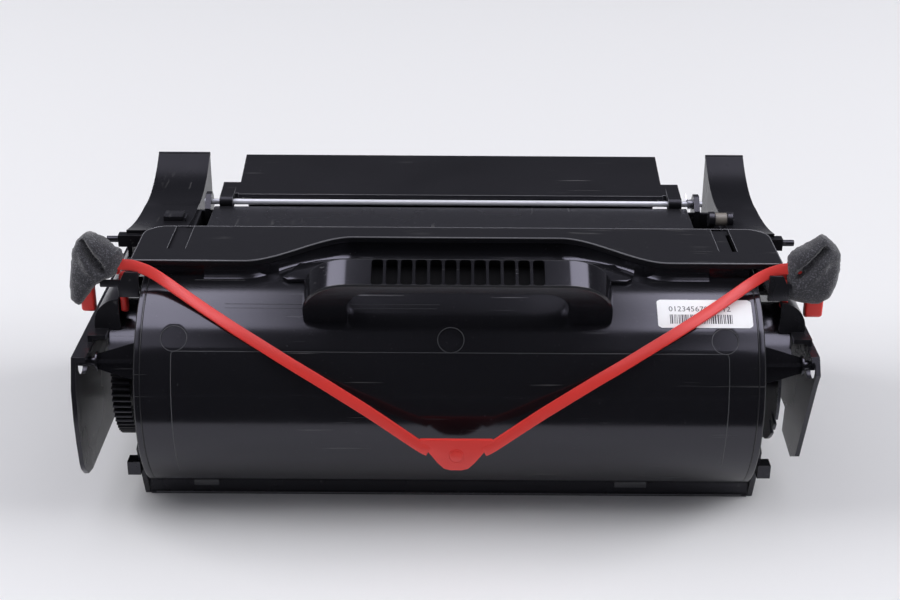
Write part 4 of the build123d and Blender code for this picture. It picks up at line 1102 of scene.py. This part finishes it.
def hopperBeads():
    look = beadLook
    left, right, high = look["left"], look["right"], look["high"]
    radius = hopper["radius"] - look["sink"] * mm
    path = [onHopper(left * mm, a, radius) for a in range(int(look["lowLeft"]), int(high), 3)]
    path += [onHopper((left + 0.5) * mm, high - 0.3, radius)]
    path += [onHopper(x * mm, high, radius) for x in (left + 1.5, right - 1.5)]
    path += [onHopper((right - 0.5) * mm, high - 0.3, radius)]
    path += [onHopper(right * mm, a, radius)
             for a in range(int(high) - 2, int(look["lowRight"]), -3)]
    parts = [tube("outlineBead", path, look["bead"] * mm, 6)]
    for x in look["ringPlaces"]:
        spots = []
        for t in circle(48):
            rise = math.degrees(look["ringRadius"] * math.sin(t) * mm / hopper["radius"])
            place = (x + look["ringRadius"] * math.cos(t)) * mm
            spots.append(onHopper(place, look["ringAngle"] + rise, radius))
        parts.append(tube("markRing", spots, look["ringBead"] * mm, 6, True))
    for start, end, angle in mouldLines:
        run = [onHopper(x * mm, angle, radius) for x in (start, end)]
        parts.append(tube("mouldLine", run, look["lineBead"] * mm, 6))
    piece = placed(joined("hopperBeads", parts), "hopper_plastic")
    # the beads' lighter finish is painted highlight
    piece.data.materials[0] = paintedBeadHighlight


hopperBeads()
print("stage: beads")


# Small parts on the deck: torsion spring on the rod, roller between flanges, catch on the left
springLook = {"back": 88.0, "height": 110.6, "turns": 5, "perTurn": 16, "start": 124.2,
              "end": 128.6, "coil": 2.35, "wire": 0.33}
# the roller turns about a line at this y and z; each flange has its start, end and radius
rollerLook = {"center": (61.0, 112.8), "core": ((134.3, 0.6), (134.3, 3.3), (140.4, 3.3), (140.4, 0.6)),
              "flanges": ((131.0, 134.4, 3.9), (140.3, 143.6, 3.8)), "bore": 0.5, "bevel": 0.4}
# each block's low corner, high corner and edge
catchBlocks = (((-146.0, 59.5, 109.0), (-136.2, 68.5, 113.2), 0.5),
               ((-135.2, 58.8, 108.0), (-134.2, 66.0, 112.6), 0.3))


def diskRings(center, profile, sides=28):
    return [[Vector((x, center[0] + r * math.cos(t), center[1] + r * math.sin(t))) * mm
             for t in circle(sides)] for x, r in profile]


def torsionSpring():
    look = springLook
    back, height, start, end = (look[key] for key in ("back", "height", "start", "end"))
    count = look["turns"] * look["perTurn"]
    points = [Vector((start - 0.2, back + 6.0, height + 3.4))]
    for k in range(count + 1):
        t = 2 * math.pi * k / look["perTurn"]
        x = start + (end - start) * k / count
        points.append(Vector((x, back + look["coil"] * math.cos(t),
                              height + look["coil"] * math.sin(t))))
    points.append(Vector((end + 0.2, back - 7.5, height - 0.5)))
    return placed(tube("torsionSpring", [p * mm for p in points], look["wire"] * mm, 8), "steel")


def flangeProfile(start, end, radius):
    bore, bevel = rollerLook["bore"], rollerLook["bevel"]
    return [(start, bore), (start, radius - bevel), (start + bevel, radius),
            (end - bevel, radius), (end, radius - bevel), (end, bore)]


def deckRoller():
    look = rollerLook
    roller = placed(ringsMesh("deckRoller", diskRings(look["center"], look["core"])),
                    "wheel_plastic")
    roller.data.materials[0] = spoolTan
    parts = [ringsMesh("flange", diskRings(look["center"], flangeProfile(*flange)))
             for flange in look["flanges"]]
    placed(joined("deckFlanges", parts), "frame_plastic")


def leftCatch():
    parts = [block("catch", [v * mm for v in low], [v * mm for v in high], edge * mm)
             for low, high, edge in catchBlocks]
    placed(joined("leftCatch", parts), "frame_plastic")


torsionSpring()
deckRoller()
leftCatch()
print("stage: small parts")
